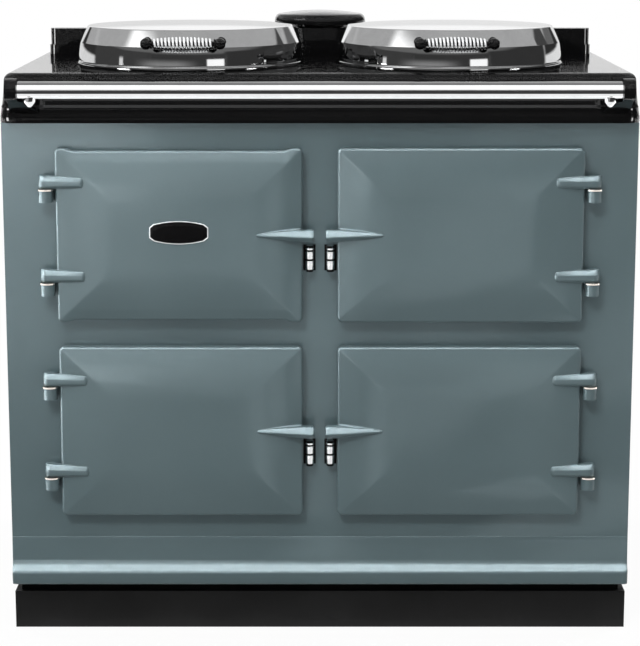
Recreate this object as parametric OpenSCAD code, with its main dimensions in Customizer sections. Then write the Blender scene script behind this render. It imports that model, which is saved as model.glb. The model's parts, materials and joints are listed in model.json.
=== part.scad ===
// Cast iron range cooker: four hinged doors over three ovens and a control recess,
// two hinged lids over round hotplates, a handrail, a rear upstand and a vent cap.
// Millimetres. X runs left to right as seen from the front, Y to the rear, Z up.
// The origin is on the floor, at the centre of the whole footprint.
// Every piece is drawn from the front plate's face (Y = 0) and then moved by placed().

/* [Casing] */
// Front plate outside each door's outer edge
side_margin = 84; // [70:1:140]
// Front plate above the upper doors
top_margin = 37; // [24:1:80]
// Front plate between the upper and lower doors
row_gap = 38.5; // [30:0.5:80]
// Front plate below the lower doors
bottom_margin = 41.5; // [20:0.5:80]
// Depth from the front plate's face to the rear edge
body_d = 655; // [645:5:800]
// Thickness of the cast front plate
plate_t = 8; // [6:0.5:12]
// Thickness of a side panel
panel_t = 4; // [3:0.5:6]
// Width of the return at a side panel's rear edge
return_w = 20; // [16:1:40]
// Thickness of the back panel
back_t = 3; // [2:0.5:5]
// Distance of the back panel from the rear edge
back_inset = 12; // [11:1:30]
// Height of the plinth
plinth_h = 60; // [50:1:120]
// Thickness of the plinth's sheet
plinth_t = 3; // [2:0.5:6]
// Distance of the plinth behind the front plate's face and inside the panels
plinth_inset = 2; // [1:0.5:10]
// Width of the plinth's turned-in top edge
plinth_return = 22; // [18:1:40]
// Height of the dark recess above the plinth
recess_h = 15; // [10:1:30]
// Distance of the base frame's rails inside the panels
recess_in = 12; // [9:0.5:20]
// Thickness of the base frame's deck
deck_t = 3; // [2:0.5:6]
// Width of the base frame's rails
frame_rail_w = 50; // [45:1:80]
// Height of the base moulding
moulding_h = 77; // [60:1:110]
// Projection of the base moulding's ridge
moulding_out = 15; // [6:0.5:20]
// Height of the ridge above the moulding's lower edge
ridge_h = 26; // [18:1:40]
// Part of the ridge's projection lost at the moulding's lower edge
ridge_turn = 0.25; // [0:0.05:0.6]
// Radius of a levelling foot's pad
foot_r = 22; // [16:1:24]
// Thickness of a levelling foot's pad
foot_t = 8; // [5:1:14]
// Radius of a levelling foot's stud
foot_stud_r = 6; // [4:0.5:8]
// Radius of a levelling foot's nut, over its corners
foot_nut_r = 11; // [9:0.5:14]
// Radius of a panel screw's shank
screw_r = 2.5; // [2:0.25:3.5]
// Radius of a panel screw's head
screw_head_r = 5; // [4.5:0.25:7]
// Height of a panel screw's head
screw_head_h = 3; // [2:0.25:5]
// Length of a panel screw past the panel's return
screw_past = 3; // [2:0.5:4]
// Distance of the end screws from the panel's ends
screw_end = 60; // [30:5:90]

/* [Doors] */
// Width of a door
door_w = 380; // [360:1:420]
// Height of a door
door_h = 272; // [250:1:310]
// Gap between the left and right doors
door_gap = 54; // [52:1:90]
// Gap between a door casting and the front plate
door_standoff = 5; // [4.5:0.5:8]
// Thickness of a door's edge
door_edge_t = 20; // [18:0.5:30]
// Rise of the door's centre above its edge
door_crown = 8; // [4:0.5:12]
// Distance over which the door's face rises
crown_run = 86; // [60:1:110]
// Rounding of the edge round a door's face
door_edge_r = 5; // [2:0.5:7]
// Radius of a door's corners
door_corner_r = 8; // [7.5:0.5:16]
// Thickness of a door's side walls
door_wall = 8; // [7:0.5:10]
// Thickness of a door's face at its edge
door_face_t = 6; // [5:0.5:9]
// Distance of the liner's flange inside the door's edge
liner_inset = 3; // [2:0.5:4]
// Thickness of the liner's flange
liner_t = 1.5; // [1:0.25:2]
// Wall of the liner's pan
pan_t = 2; // [1.5:0.25:3]
// Depth of the liner's pan inside the oven's mouth
pan_d = 20; // [10:1:26]
// Gap round the liner's pan in the oven's mouth
pan_gap = 5; // [4.5:0.5:10]
// Length of the air slots in the control door's edges
slot_l = 327; // [200:1:335]
// Depth of the air slots
slot_d = 4; // [2:0.5:5]
// Length of the slope at each end of an air slot
slot_ramp = 10; // [4:1:20]
// Length of the badge plate
badge_w = 92; // [60:1:120]
// Height of the badge plate
badge_h = 37; // [20:1:50]
// Thickness of the badge plate
badge_t = 3; // [2:0.5:5]
// Height of the badge plate above the door's centre
badge_up = 7; // [0:1:20]

/* [Hinges and catches] */
// Distance of the hinge pin outside the door's edge
hinge_out = 15; // [14:0.5:20]
// Distance of the hinge pin in front of the plate
hinge_front = 21; // [18:0.5:24]
// Distance between a door's two hinges
hinge_pitch = 146; // [110:1:170]
// Height of a hinge strap
strap_h = 21; // [16:1:28]
// Radius of a hinge strap's eye
strap_r = 10.5; // [8.5:0.5:12]
// Reach of a hinge strap from the pin onto the door's face
strap_reach = 57; // [40:1:70]
// Height of a hinge boss
boss_h = 18; // [14:1:30]
// Radius of a hinge boss
boss_r = 11; // [8.5:0.5:12]
// Radius of a hinge pin
pin_r = 5; // [3.5:0.25:6]
// Thickness of a hinge washer
washer_t = 2.4; // [0.8:0.2:3]
// Radius of a hinge washer
washer_r = 12.4; // [8.5:0.1:13]
// Thickness of the strap over the pin's end
strap_cap = 4; // [2:0.5:6]
// Height of a strap's tip
strap_tip_h = 15; // [8:0.5:18]
// Reach of a handle past the door's inner edge
handle_over = 18.5; // [10:0.5:20]
// Reach of a handle onto the door's face
handle_in = 70; // [50:1:90]
// Height of a handle
handle_h = 20; // [16:1:28]
// Rounding of a handle's end
handle_end_r = 6; // [4:0.5:8]
// Projection of a handle in front of the door's centre
handle_out = 15; // [10:0.5:25]
// Height of a handle's middle above the door's centre
handle_up = 2; // [-4:0.5:6]
// Distance of the catch roller's axle from the door's inner edge
catch_in = 11; // [10:0.5:14]
// Distance of the roller's axle in front of the plate
catch_front = 14; // [12:0.5:18]
// Distance of the roller's middle below the door's centre
catch_drop = 36.5; // [34:0.5:60]
// Length of a catch roller
roller_l = 34; // [24:1:40]
// Radius of a catch roller
roller_r = 6.5; // [5:0.25:7.5]
// Radius of the roller's axle
axle_r = 2.5; // [1.5:0.25:3]
// Thickness of the catch bracket's plate and ears
bracket_t = 3; // [2:0.25:4]

/* [Ovens] */
// Overlap of a door over the oven's mouth at each side
oven_lap_x = 18.5; // [16:0.5:30]
// Overlap of a door over the oven's mouth at top and bottom
oven_lap_z = 10; // [9.5:0.5:16]
// Depth of an oven
oven_d = 480; // [420:5:510]
// Wall of an oven casting
oven_wall = 8; // [6:0.5:12]
// Width of the rope seal
seal_w = 5; // [3:0.5:6]
// Projection of a shelf runner
runner_w = 9; // [8:0.5:14]
// Height of a shelf runner
runner_h = 4; // [3:0.5:8]
// Distance of the runners' front ends inside the oven's mouth
runner_front = 30; // [28:1:60]
// Distance of the runners' rear ends from the oven's rear wall
runner_rear = 10; // [5:1:30]
// Distance between shelf runners
runner_pitch = 60; // [45:1:62]
// Radius of a shelf's frame rod
shelf_frame_r = 3; // [2:0.25:4]
// Radius of a shelf's bars
shelf_bar_r = 1.8; // [1.2:0.1:2.4]
// Number of bars on a shelf
shelf_bars = 11; // [5:1:17]
// Radius of a heating element
element_r = 4; // [3:0.25:5]
// Distance of the oven's element below its roof
element_drop = 14; // [10:1:20]
// Radius of the oven's vent holes
oven_vent_r = 6; // [4:0.5:8]
// Distance of the vent holes below the oven's roof
oven_vent_drop = 40; // [30:1:60]
// Side of a square post under the ovens
post_w = 40; // [20:1:50]
// Distance of each post's middle from the oven's middle
post_out = 123; // [100:1:140]
// Distance of the posts from the oven's front and rear
post_inset = 60; // [30:5:100]

/* [Hob] */
// Height of the top plate's skirt
skirt_h = 76; // [72:1:100]
// Thickness of the top plate
top_t = 8; // [6:0.5:12]
// Radius of the rolled edge
roll_r = 13; // [8:0.5:16]
// Projection of the lip past the skirt
lip_out = 6.5; // [3:0.5:10]
// Height of the lip
lip_h = 8; // [5:0.5:12]
// Height of the flare above the lip
flare_h = 25; // [15:1:30]
// Projection of the lip past each side panel
lip_side = 2.5; // [1:0.5:8]
// Projection of the lip in front of the front plate
lip_front = 14; // [12:0.5:24]
// Radius of a hotplate
hotplate_r = 177; // [165:1:181]
// Thickness of a hotplate
hotplate_t = 40; // [30:1:50]
// Height of a hotplate above the top plate
hotplate_rise = 4; // [1:0.5:6]
// Distance of each hotplate's centre from the middle
hotplate_x = 211; // [205:1:230]
// Distance of the hotplates' centres behind the front plate's face
hotplate_y = 220; // [215:1:235]
// Width of a hotplate's trim ring
ring_w = 4.2; // [3:0.2:6]
// Height of a hotplate's trim ring
ring_h = 10; // [9:0.5:14]
// Radius of the cradle ring under a hotplate
cradle_r = 150; // [120:1:155]
// Width and height of the cradle ring
cradle_w = 12; // [8:1:16]
// Bevel of a hotplate's upper edge
plate_bevel = 3; // [1:0.5:6]
// Height of the trim ring above the top plate
ring_up = 2; // [1:0.25:4]

/* [Lids] */
// Thickness of a lid's sheet
lid_t = 2; // [1.5:0.25:3]
// Height of the crease in a lid's side
crease_h = 36; // [28:1:40]
// Distance of the crease inside the lid's rim
crease_in = 5; // [4:0.5:12]
// Height of a lid's upper edge
lid_edge_h = 62; // [56:1:75]
// Distance of the upper edge inside the lid's rim
lid_edge_in = 18; // [14:0.5:30]
// Rise of the lid's centre above its upper edge
lid_dome = 4; // [2:0.5:10]
// Height of the bead round a lid's rim
bead_h = 5; // [3:0.5:8]
// Rounding of a lid's upper edge
lid_edge_r = 5; // [4:0.5:8]
// Height of the slope above the bead
bead_slope = 1.5; // [1:0.25:2.5]
// Height of the lid's liner above the top plate
liner_up = 8; // [7:0.5:14]
// Thickness of the lid's liner
lid_liner_t = 2; // [1:0.25:2.5]
// Height of the lid liner's turned-up edge
liner_edge_h = 12; // [8:1:18]
// Distance of the lid's hinge pin behind its rim
lid_hinge_back = 43; // [38:1:60]
// Height of the lid's hinge pin above the top plate
lid_hinge_up = 30; // [27:1:32]
// Radius of a lid's hinge pin
lid_pin_r = 7; // [5:0.5:9]
// Width of a lid's hinge arm
arm_w = 56; // [40:1:70]
// Height of a hinge arm's root on the lid's side
root_h = 32; // [20:1:34]
// Radius of the hinge arm's eye
arm_r = 14; // [12:0.5:15]
// Length of a lid's coil handle
coil_l = 95; // [70:1:120]
// Number of turns in a coil handle
coil_turns = 16; // [10:1:20]
// Radius of the coil handle at its middle
coil_mid_r = 11; // [9.5:0.5:12]
// Radius of the coil handle at its ends
coil_end_r = 8; // [7:0.5:9]
// Radius of the coil handle's wire
wire_r = 1.8; // [1.2:0.1:2.2]
// Height of the coil handle above the top plate
coil_up = 43; // [38:1:50]
// Distance of the coil handle in front of the lid's rim
coil_front = 15; // [13:0.5:16]
// Radius of the rod through the coil handle
rod_r = 4; // [2.5:0.25:4.5]
// Radius of a handle post's ball
post_ball_r = 9; // [7:0.5:11]
// Radius of a handle post's stem
post_stem_r = 6; // [4:0.5:7]

/* [Handrail] */
// Radius of the handrail
rail_r = 13; // [11:0.5:15]
// Wall of the handrail
rail_t = 1.6; // [1:0.1:3]
// Distance of the handrail's axis in front of the front plate
rail_front = 65; // [55:1:80]
// Distance of the handrail's axis below the top plate's surface
rail_drop = 20.5; // [17:0.5:26]
// Distance of each end of the handrail inside the body's side
rail_in = 32; // [28:1:60]
// Radius of the bracket's cup
cup_r = 17; // [16:0.5:20]
// Length of the bracket's cup past the rail's end
cup_over = 14; // [8:1:22]
// Depth of the rail inside the bracket's cup
cup_grip = 4; // [3:0.5:12]
// Reach of the bracket's foot along the fascia, inwards from the cup
foot_reach = 25; // [10:1:40]
// Distance of the foot's lower edge below the handrail's axis
foot_drop = 40; // [32:1:46]
// Height of the foot
foot_h = 24; // [14:1:30]
// Thickness of the foot where it reaches along the fascia
rail_foot_t = 8; // [5:1:12]
// Radius of the stud under the handrail
stud_r = 8.5; // [5:0.5:10]
// Distance of the stud from the handrail's end
stud_in = 22; // [20:1:40]
// Length of the stud below the handrail
stud_l = 13; // [8:0.5:20]

/* [Rear of the hob] */
// Height of the rear upstand
upstand_h = 45; // [42:1:60]
// Thickness of the rear upstand
upstand_t = 30; // [28:1:38]
// Distance of the lid's hinge pin behind the upstand's front face
upstand_pin_in = 17; // [12:0.5:20]
// Distance of the upstand's end inside the body's side
upstand_in = 24; // [20:1:60]
// Height of the upstand's step
step_h = 17; // [8:1:20]
// Projection of the upstand's step
step_out = 2; // [1:0.5:4]
// Height of the strip left below the arms' notches
notch_up = 10; // [4:1:12]
// Gap at each side of a hinge arm
notch_gap = 3; // [1:0.5:6]
// Length of pin held by the upstand at each side of an arm
pin_hold = 20; // [10:1:40]
// Outer radius of the vent's neck
neck_r = 50; // [40:1:60]
// Wall of the vent's neck
neck_t = 6; // [4:0.5:8]
// Radius of the vent cap
cap_r = 80; // [70:1:90]
// Height of the vent cap's lower edge above the top plate
cap_up = 50; // [47:1:70]
// Height of the vent cap's rim
cap_rim_h = 17; // [10:1:20]
// Slope of the vent cap's rim
cap_rim_in = 9; // [4:0.5:14]
// Thickness of the vent cap's roof at its edge
cap_t = 13; // [8:0.5:16]
// Width of a slot in the vent's neck
vent_slot_w = 18; // [10:1:24]
// Height of a slot in the vent's neck
vent_slot_h = 14; // [8:1:20]
// Rise of the vent cap's dome
cap_dome = 6; // [3:0.5:12]
// Radius of the vent duct
duct_r = 32; // [24:1:34]
// Wall of the vent duct
duct_t = 2; // [1:0.25:3]

/* [Controls and supply] */
// Depth of the control recess behind the front plate
control_d = 45; // [36:1:70]
// Wall of the control panel's pan
control_t = 3; // [2:0.5:5]
// Distance between the knobs
knob_pitch = 90; // [60:1:110]
// Radius of a knob
knob_r = 18; // [14:0.5:24]
// Depth of a knob
knob_d = 20; // [14:1:26]
// Radius of a knob's spindle
spindle_r = 3; // [2.5:0.25:4]
// Depth of the switch body behind the panel
switch_d = 24; // [16:1:40]
// Width of the pointer on a knob
pointer_w = 3; // [2:0.5:5]
// Height of the pointer in front of a knob
pointer_h = 1.5; // [1:0.25:3]
// Width of the terminal box
terminal_w = 100; // [70:1:140]
// Height of the terminal box
terminal_h = 65; // [50:1:70]
// Depth of the terminal box
terminal_d = 40; // [30:1:50]
// Wall of the terminal box
terminal_t = 3; // [2:0.5:5]
// Height of the terminal box above the deck
terminal_up = 5; // [1:1:20]
// Radius of the cable gland's bore
gland_bore_r = 8; // [6:0.5:10]
// Wall of the cable gland
gland_t = 6; // [4:0.5:8]
// Projection of the cable gland behind the back panel
gland_out = 10; // [6:0.5:10]

/* [Fits] */
// Radial clearance of a running fit
running = 0.05; // [0.02:0.01:0.1]
// Interference of a pressed pin
press = 0.02; // [0.01:0.01:0.03]
// Clearance between neighbouring pieces
fit = 0.3; // [0.2:0.05:0.5]

/* [Hidden] */

enamel = "#5f7074";
black = "#1c1c1e";
soot = "#2c2c2e";
chrome = "#c9ccd0";
steel = "#9a9da1";
brass = "#b08d4f";
wool = "#d8cfa8";

$fn = 64;
hull_fn = 32;
skin = 0.01;
cut = 1;

left = -1;
right = 1;
lower = 0;
upper = 1;
sides = [left, right];
rows = [lower, upper];

// Across the front
door_cx = door_gap / 2 + door_w / 2;
body_w = 2 * (door_gap / 2 + door_w + side_margin);
oven_w = door_w - 2 * oven_lap_x;
oven_h = door_h - 2 * oven_lap_z;

// Up from the floor
deck_top = plinth_h + recess_h;
front_bottom = deck_top + moulding_h;
front_top = front_bottom + bottom_margin + 2 * door_h + row_gap + top_margin;
hob_z = front_top + skirt_h;
function door_z(row) = front_bottom + bottom_margin + door_h / 2 + row * (door_h + row_gap);

// From the front to the rear
door_face = door_standoff + door_edge_t;
door_front = door_face + door_crown;
handle_front = door_front + handle_out;
rail_reach = rail_front + cup_r;
total_d = body_d + rail_reach;
face_y = rail_reach - total_d / 2;
oven_back = plate_t + oven_d;
back_face = body_d - back_inset;
back_inner = back_face - back_t;

// Hob, lids and rear
ring_r = hotplate_r + fit + ring_w;
hob_hole_r = ring_r + fit;
lid_r = hob_hole_r + lid_t + fit;
lid_top = lid_edge_h + lid_dome;
hinge_y = hotplate_y + lid_r + lid_hinge_back;
hinge_z = hob_z + lid_hinge_up;
upstand_y = hinge_y - upstand_pin_in;
neck_gap = 2;
vent_y = upstand_y + upstand_t + neck_gap + neck_r;
lid_pin_l = arm_w + 2 * notch_gap + 2 * pin_hold;
flat_x = body_w / 2 + lip_side - lip_out - roll_r;
flat_y = -lip_front + lip_out + roll_r;
fascia_y = -lip_front + lip_out;
rail_z = hob_z - rail_drop;
rail_half = body_w / 2 - rail_in;

// Insulation starts behind the ovens and the duct
batt_y = max(vent_y + duct_r, oven_back + oven_wall) + fit;
batt_end = back_inner - panel_t - 8;
oven_out_x = door_cx + oven_w / 2 + oven_wall;
panel_in_x = body_w / 2 - panel_t;
oven_under = door_z(lower) - oven_h / 2 - oven_wall;
oven_over = door_z(upper) + oven_h / 2 + oven_wall;
lower_over = door_z(lower) + oven_h / 2 + oven_wall;
hotplate_under = hob_z + hotplate_rise - hotplate_t;

// Vent stubs run from the side wall of each oven, near its roof and rear, and back to the duct
stub_x = door_cx - oven_w / 2 - oven_wall;
stub_r = oven_vent_r + duct_t;
vent_stub_y = oven_back - stub_r;
stub_low_y = min(vent_stub_y, vent_y);
stub_run = abs(vent_y - vent_stub_y);
vent_stubs = [for (o = [[left, lower], [right, lower], [right, upper]])
    [o[0], door_z(o[1]) + oven_h / 2 - oven_vent_drop]];

// Terminal box and gland
gland_r = gland_bore_r + gland_t;
terminal_x = oven_out_x - terminal_w / 2;
terminal_z = deck_top + terminal_up + terminal_h / 2;

module placed() {
    translate([0, face_y, 0]) children();
}

// A box from its low corner to its high corner
module block(low, high) {
    translate(low) cube(high - low);
}

// Children are drawn facing outwards from the front plate, this far in front of it
module facing(out) {
    translate([0, -out, 0]) rotate([90, 0, 0]) children();
}

// Puts a door-sized piece at its door, mirrored so that its hinge is on the outer side
module at_door(side, row) {
    translate([side * door_cx, 0, door_z(row)]) mirror([side < 0 ? 1 : 0, 0, 0]) children();
}

module along_x(length) {
    rotate([0, 90, 0]) translate([0, 0, -length / 2]) children();
}

module round_rect(w, h, r) {
    offset(r) square([w - 2 * r, h - 2 * r], center = true);
}

// ---- Casing ----

module plinth() {
    half = body_w / 2 - plinth_inset;
    rear = body_d - plinth_inset;
    inner = plinth_t;
    color(black) placed() difference() {
        block([-half, plinth_inset, 0], [half, rear, plinth_h]);
        block([-half + inner, plinth_inset + inner, -cut], [half - inner, rear - inner, plinth_h - plinth_t]);
        block([-half + plinth_return, plinth_inset + plinth_return, 0],
              [half - plinth_return, rear - plinth_return, plinth_h + cut]);
    }
}

module base_frame() {
    half = body_w / 2 - recess_in;
    rail_inner = half - frame_rail_w;
    deck_half = body_w / 2 - plinth_inset;
    color(soot) placed() {
        difference() {
            block([-half, recess_in, plinth_h], [half, body_d - recess_in, deck_top - deck_t]);
            block([-rail_inner, recess_in + frame_rail_w, plinth_h - cut],
                  [rail_inner, body_d - recess_in - frame_rail_w, deck_top]);
        }
        block([-deck_half, plinth_inset, deck_top - deck_t], [deck_half, body_d - plinth_inset, deck_top]);
    }
}

module levelling_feet() {
    inset = recess_in + frame_rail_w / 2;
    color(steel) placed() for (sx = sides, y = [inset, body_d - inset]) {
        translate([sx * (body_w / 2 - inset), y, 0]) {
            cylinder(r = foot_r, h = foot_t);
            cylinder(r = foot_stud_r, h = plinth_h);
            translate([0, 0, foot_t]) cylinder(r = foot_nut_r, h = foot_t, $fn = 6);
        }
    }
}

// The ridge swells out below the seam and turns in a little under itself
function moulding_y(z) = z > ridge_h
    ? -moulding_out * (1 - cos(180 * (moulding_h - z) / (moulding_h - ridge_h))) / 2
    : -moulding_out + moulding_out * ridge_turn * (1 - cos(180 * (ridge_h - z) / ridge_h)) / 2;

module base_moulding() {
    steps = 24;
    outline = concat([[plate_t, 0], [plate_t, moulding_h]],
                     [for (i = [steps : -1 : 0]) [moulding_y(moulding_h * i / steps), moulding_h * i / steps]]);
    color(enamel) placed() translate([-body_w / 2, 0, deck_top])
        rotate([90, 0, 90]) linear_extrude(body_w) polygon(outline);
}

module hinge_places() {
    for (h = [-hinge_pitch / 2, hinge_pitch / 2])
        translate([door_w / 2 + hinge_out, -hinge_front, h]) children();
}

module front_plate() {
    boss_top = -washer_t - fit;
    neck = boss_r - 2;
    color(enamel) placed() difference() {
        union() {
            block([-body_w / 2, 0, front_bottom], [body_w / 2, plate_t, front_top]);
            for (side = sides, row = rows) at_door(side, row) hinge_places() {
                translate([0, 0, boss_top - boss_h]) cylinder(r = boss_r, h = boss_h);
                block([-neck, 0, boss_top - boss_h], [neck, hinge_front + plate_t / 2, boss_top]);
            }
        }
        for (side = sides, row = rows) at_door(side, row) {
            block([-oven_w / 2, -cut, -oven_h / 2], [oven_w / 2, plate_t + cut, oven_h / 2]);
            hinge_places() translate([0, 0, boss_top - boss_h - cut])
                cylinder(r = pin_r - press, h = boss_h + 2 * cut);
        }
    }
}

module side_panels() {
    color(enamel) placed() for (s = sides) mirror([s < 0 ? 1 : 0, 0, 0]) difference() {
        union() {
            block([panel_in_x, plate_t, deck_top], [body_w / 2, body_d, front_top]);
            block([panel_in_x - return_w, back_inner - panel_t, deck_top],
                  [panel_in_x + skin, back_inner, front_top]);
        }
        screw_holes();
    }
}

function screw_zs() = [for (i = [0 : 3]) deck_top + screw_end + i * (front_top - deck_top - 2 * screw_end) / 3];

module screw_spots() {
    for (z = screw_zs()) translate([panel_in_x - return_w / 2, back_face, z]) rotate([90, 0, 0]) children();
}

module screw_holes() {
    screw_spots() translate([0, 0, -cut]) cylinder(r = screw_r + fit, h = back_t + panel_t + 2 * cut);
}

module back_panel() {
    color(steel) placed() difference() {
        block([-panel_in_x, back_inner, deck_top], [panel_in_x, back_face, front_top]);
        for (s = sides) mirror([s < 0 ? 1 : 0, 0, 0]) screw_holes();
        translate([terminal_x, back_face + cut, terminal_z]) rotate([90, 0, 0])
            cylinder(r = gland_r + fit, h = back_t + 2 * cut);
    }
}

module panel_screws() {
    color(steel) placed() for (s = sides) mirror([s < 0 ? 1 : 0, 0, 0]) screw_spots() {
        cylinder(r = screw_r, h = back_t + panel_t + screw_past);
        translate([0, 0, -screw_head_h]) cylinder(r = screw_head_r, h = screw_head_h);
    }
}

// ---- Top plate and rear ----

// Points outwards and down from the flat top's edge: a quarter roll, a flare and a lip
function edge_points() = concat(
    [for (a = [0 : 15 : 90]) [roll_r * sin(a), -roll_r * (1 - cos(a))]],
    [for (i = [0 : 5]) [roll_r + lip_out * pow(i / 5, 2), -(skirt_h - lip_h - flare_h) - flare_h * i / 5]],
    [[roll_r + lip_out, -skirt_h]]);

module hob_block() {
    edge = edge_points();
    last = len(edge) - 1;
    across = concat([for (p = edge) [flat_x + p[0], p[1]]],
                    [for (i = [last : -1 : 0]) [-flat_x - edge[i][0], edge[i][1]]]);
    along = concat([for (p = edge) [flat_y - p[0], p[1]]], [[body_d, -skirt_h], [body_d, 0]]);
    intersection() {
        translate([0, body_d, hob_z]) rotate([90, 0, 0]) linear_extrude(body_d + lip_front + cut) polygon(across);
        translate([-body_w / 2 - lip_side - cut, 0, hob_z]) rotate([90, 0, 90])
            linear_extrude(body_w + 2 * lip_side + 2 * cut) polygon(along);
    }
}

module top_plate() {
    color(black) placed() difference() {
        hob_block();
        block([-panel_in_x + return_w, plate_t, front_top - cut],
              [panel_in_x - return_w, back_inner - panel_t, hob_z - top_t]);
        for (s = sides) translate([s * hotplate_x, hotplate_y, hob_z - top_t - cut])
            cylinder(r = hob_hole_r, h = top_t + 2 * cut);
        translate([0, vent_y, hob_z - top_t - cut]) cylinder(r = duct_r + fit, h = top_t + 2 * cut);
    }
}

module bar_outline(half, thick) {
    r = thick / 2;
    square([2 * (half - r), thick], center = true);
    for (s = sides) translate([s * (half - r), 0]) circle(r);
}

module rear_upstand() {
    half = body_w / 2 - upstand_in;
    mid_y = upstand_y + upstand_t / 2;
    color(black) placed() difference() {
        union() {
            translate([0, mid_y, hob_z]) linear_extrude(upstand_h) bar_outline(half, upstand_t);
            translate([0, mid_y - step_out / 2, hob_z]) linear_extrude(step_h)
                bar_outline(half + step_out, upstand_t + step_out);
        }
        for (s = sides) translate([s * hotplate_x, 0, 0]) {
            block([-arm_w / 2 - notch_gap, upstand_y - step_out - cut, hob_z + notch_up],
                  [arm_w / 2 + notch_gap, upstand_y + upstand_t + cut, hob_z + upstand_h + cut]);
            translate([0, hinge_y, hinge_z]) along_x(lid_pin_l) cylinder(r = lid_pin_r - press, h = lid_pin_l);
        }
    }
}

module lid_hinge_pins() {
    color(steel) placed() for (s = sides) translate([s * hotplate_x, hinge_y, hinge_z])
        along_x(lid_pin_l) cylinder(r = lid_pin_r, h = lid_pin_l);
}

module vent_cap() {
    slots = 6;
    land = 3;
    top_r = cap_r - cap_rim_in;
    under = cap_up + cap_rim_h - cap_t;
    profile = concat(
        [[neck_r - neck_t, 0], [neck_r, 0], [neck_r, under]],
        [[cap_r - 2 * land, under], [cap_r - land, cap_up], [cap_r, cap_up]],
        [for (a = [0 : 15 : 75]) [top_r + cap_rim_in * cos(a), cap_up + land + (cap_rim_h - land) * sin(a)]],
        [for (i = [0 : 6]) [top_r * (1 - i / 6), cap_up + cap_rim_h + cap_dome * (1 - pow(1 - i / 6, 2))]],
        [[0, under + land], [neck_r - neck_t, under + land]]);
    color(black) placed() translate([0, vent_y, hob_z]) difference() {
        rotate_extrude() polygon(profile);
        for (i = [0 : slots - 1]) rotate([0, 0, i * 360 / slots + 90])
            block([0, -vent_slot_w / 2, cap_up - 2 * land - vent_slot_h],
                  [neck_r + cut, vent_slot_w / 2, cap_up - 2 * land]);
    }
}

module vent_stub(p, r, past) {
    translate([-p[0] * r, vent_stub_y, p[1]]) rotate([0, p[0] * 90, 0]) cylinder(r = r, h = r + stub_x + past);
    translate([0, stub_low_y, p[1]]) rod_y(r, stub_run);
}

module vent_duct() {
    bottom = door_z(lower);
    color(steel) placed() difference() {
        union() {
            translate([0, vent_y, bottom]) cylinder(r = duct_r, h = hob_z - bottom);
            for (p = vent_stubs) vent_stub(p, stub_r, 0);
        }
        translate([0, vent_y, bottom + duct_t]) cylinder(r = duct_r - duct_t, h = hob_z - bottom);
        for (p = vent_stubs) vent_stub(p, oven_vent_r, cut);
    }
}

// ---- Handrail ----

module handrail() {
    tube_in = rail_half - 2 * rail_t;
    tip_h = stud_l * 0.55;
    color(chrome) placed() translate([0, -rail_front, rail_z]) difference() {
        union() {
            along_x(2 * rail_half) cylinder(r = rail_r, h = 2 * rail_half);
            for (s = sides) translate([s * (rail_half - stud_in), 0, -rail_r - stud_l]) {
                cylinder(r1 = stud_r * 0.45, r2 = stud_r, h = tip_h);
                translate([0, 0, tip_h - skin]) cylinder(r = stud_r, h = stud_l - tip_h + rail_r / 2);
            }
        }
        along_x(2 * tube_in) cylinder(r = rail_r - rail_t, h = 2 * tube_in);
    }
}

// A cup round the rail's end on a foot that seats on the fascia
module rail_brackets() {
    cup_end = rail_half + cup_over;
    cup_start = rail_half - cup_grip;
    step = 2;
    foot_low = rail_z - foot_drop;
    clear = 6;
    color(black) placed() for (s = sides) mirror([s < 0 ? 1 : 0, 0, 0]) difference() {
        union() {
            translate([cup_start, -rail_front, rail_z]) rotate([0, 90, 0])
                cylinder(r = cup_r, h = cup_end - cup_start);
            hull() {
                translate([cup_start + step, -rail_front, rail_z]) rotate([0, 90, 0])
                    cylinder(r = cup_r - step, h = cup_end - cup_start - 2 * step, $fn = hull_fn);
                block([cup_start - foot_reach, fascia_y - rail_foot_t, foot_low],
                      [cup_end, fascia_y + step, foot_low + foot_h]);
                block([cup_start, fascia_y - 1, foot_low], [cup_end, fascia_y + step, hob_z - roll_r - step]);
            }
        }
        translate([rail_half - stud_in, -rail_front, rail_z - rail_r - stud_l - step])
            cylinder(r = stud_r + step, h = rail_r + stud_l);
        translate([cup_start - cut, -rail_front, rail_z]) rotate([0, 90, 0])
            cylinder(r = rail_r + fit, h = cup_grip + cut + fit);
        translate([cup_start - foot_reach, -rail_front, rail_z]) rotate([0, 90, 0])
            cylinder(r = rail_r + clear, h = foot_reach);
        hob_block();
    }
}

// ---- Ovens ----

module oven_box(side, row) {
    half_x = oven_w / 2 + oven_wall;
    half_z = oven_h / 2 + oven_wall;
    color(soot) placed() at_door(side, row) difference() {
        block([-half_x, plate_t, -half_z], [half_x, oven_back + oven_wall, half_z]);
        difference() {
            block([-oven_w / 2, plate_t - cut, -oven_h / 2], [oven_w / 2, oven_back, oven_h / 2]);
            for (s = sides, z = runner_tops()) translate([s * oven_w / 2, 0, -oven_h / 2 + z])
                block([-runner_w, plate_t + runner_front, -runner_h], [runner_w, oven_back - runner_rear, 0]);
        }
        translate([-oven_w / 2 + cut, vent_stub_y, oven_h / 2 - oven_vent_drop]) rotate([0, -90, 0])
            cylinder(r = oven_vent_r, h = oven_wall + 2 * cut);
    }
}

function runner_tops() = [for (i = [1 : 3]) i * runner_pitch];

module roasting_oven() {
    oven_box(right, upper);
}

module simmering_oven() {
    oven_box(right, lower);
}

module baking_oven() {
    oven_box(left, lower);
}

ovens = [[right, upper], [right, lower], [left, lower]];

module rod_y(r, length) {
    rotate([-90, 0, 0]) cylinder(r = r, h = length);
}

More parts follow.
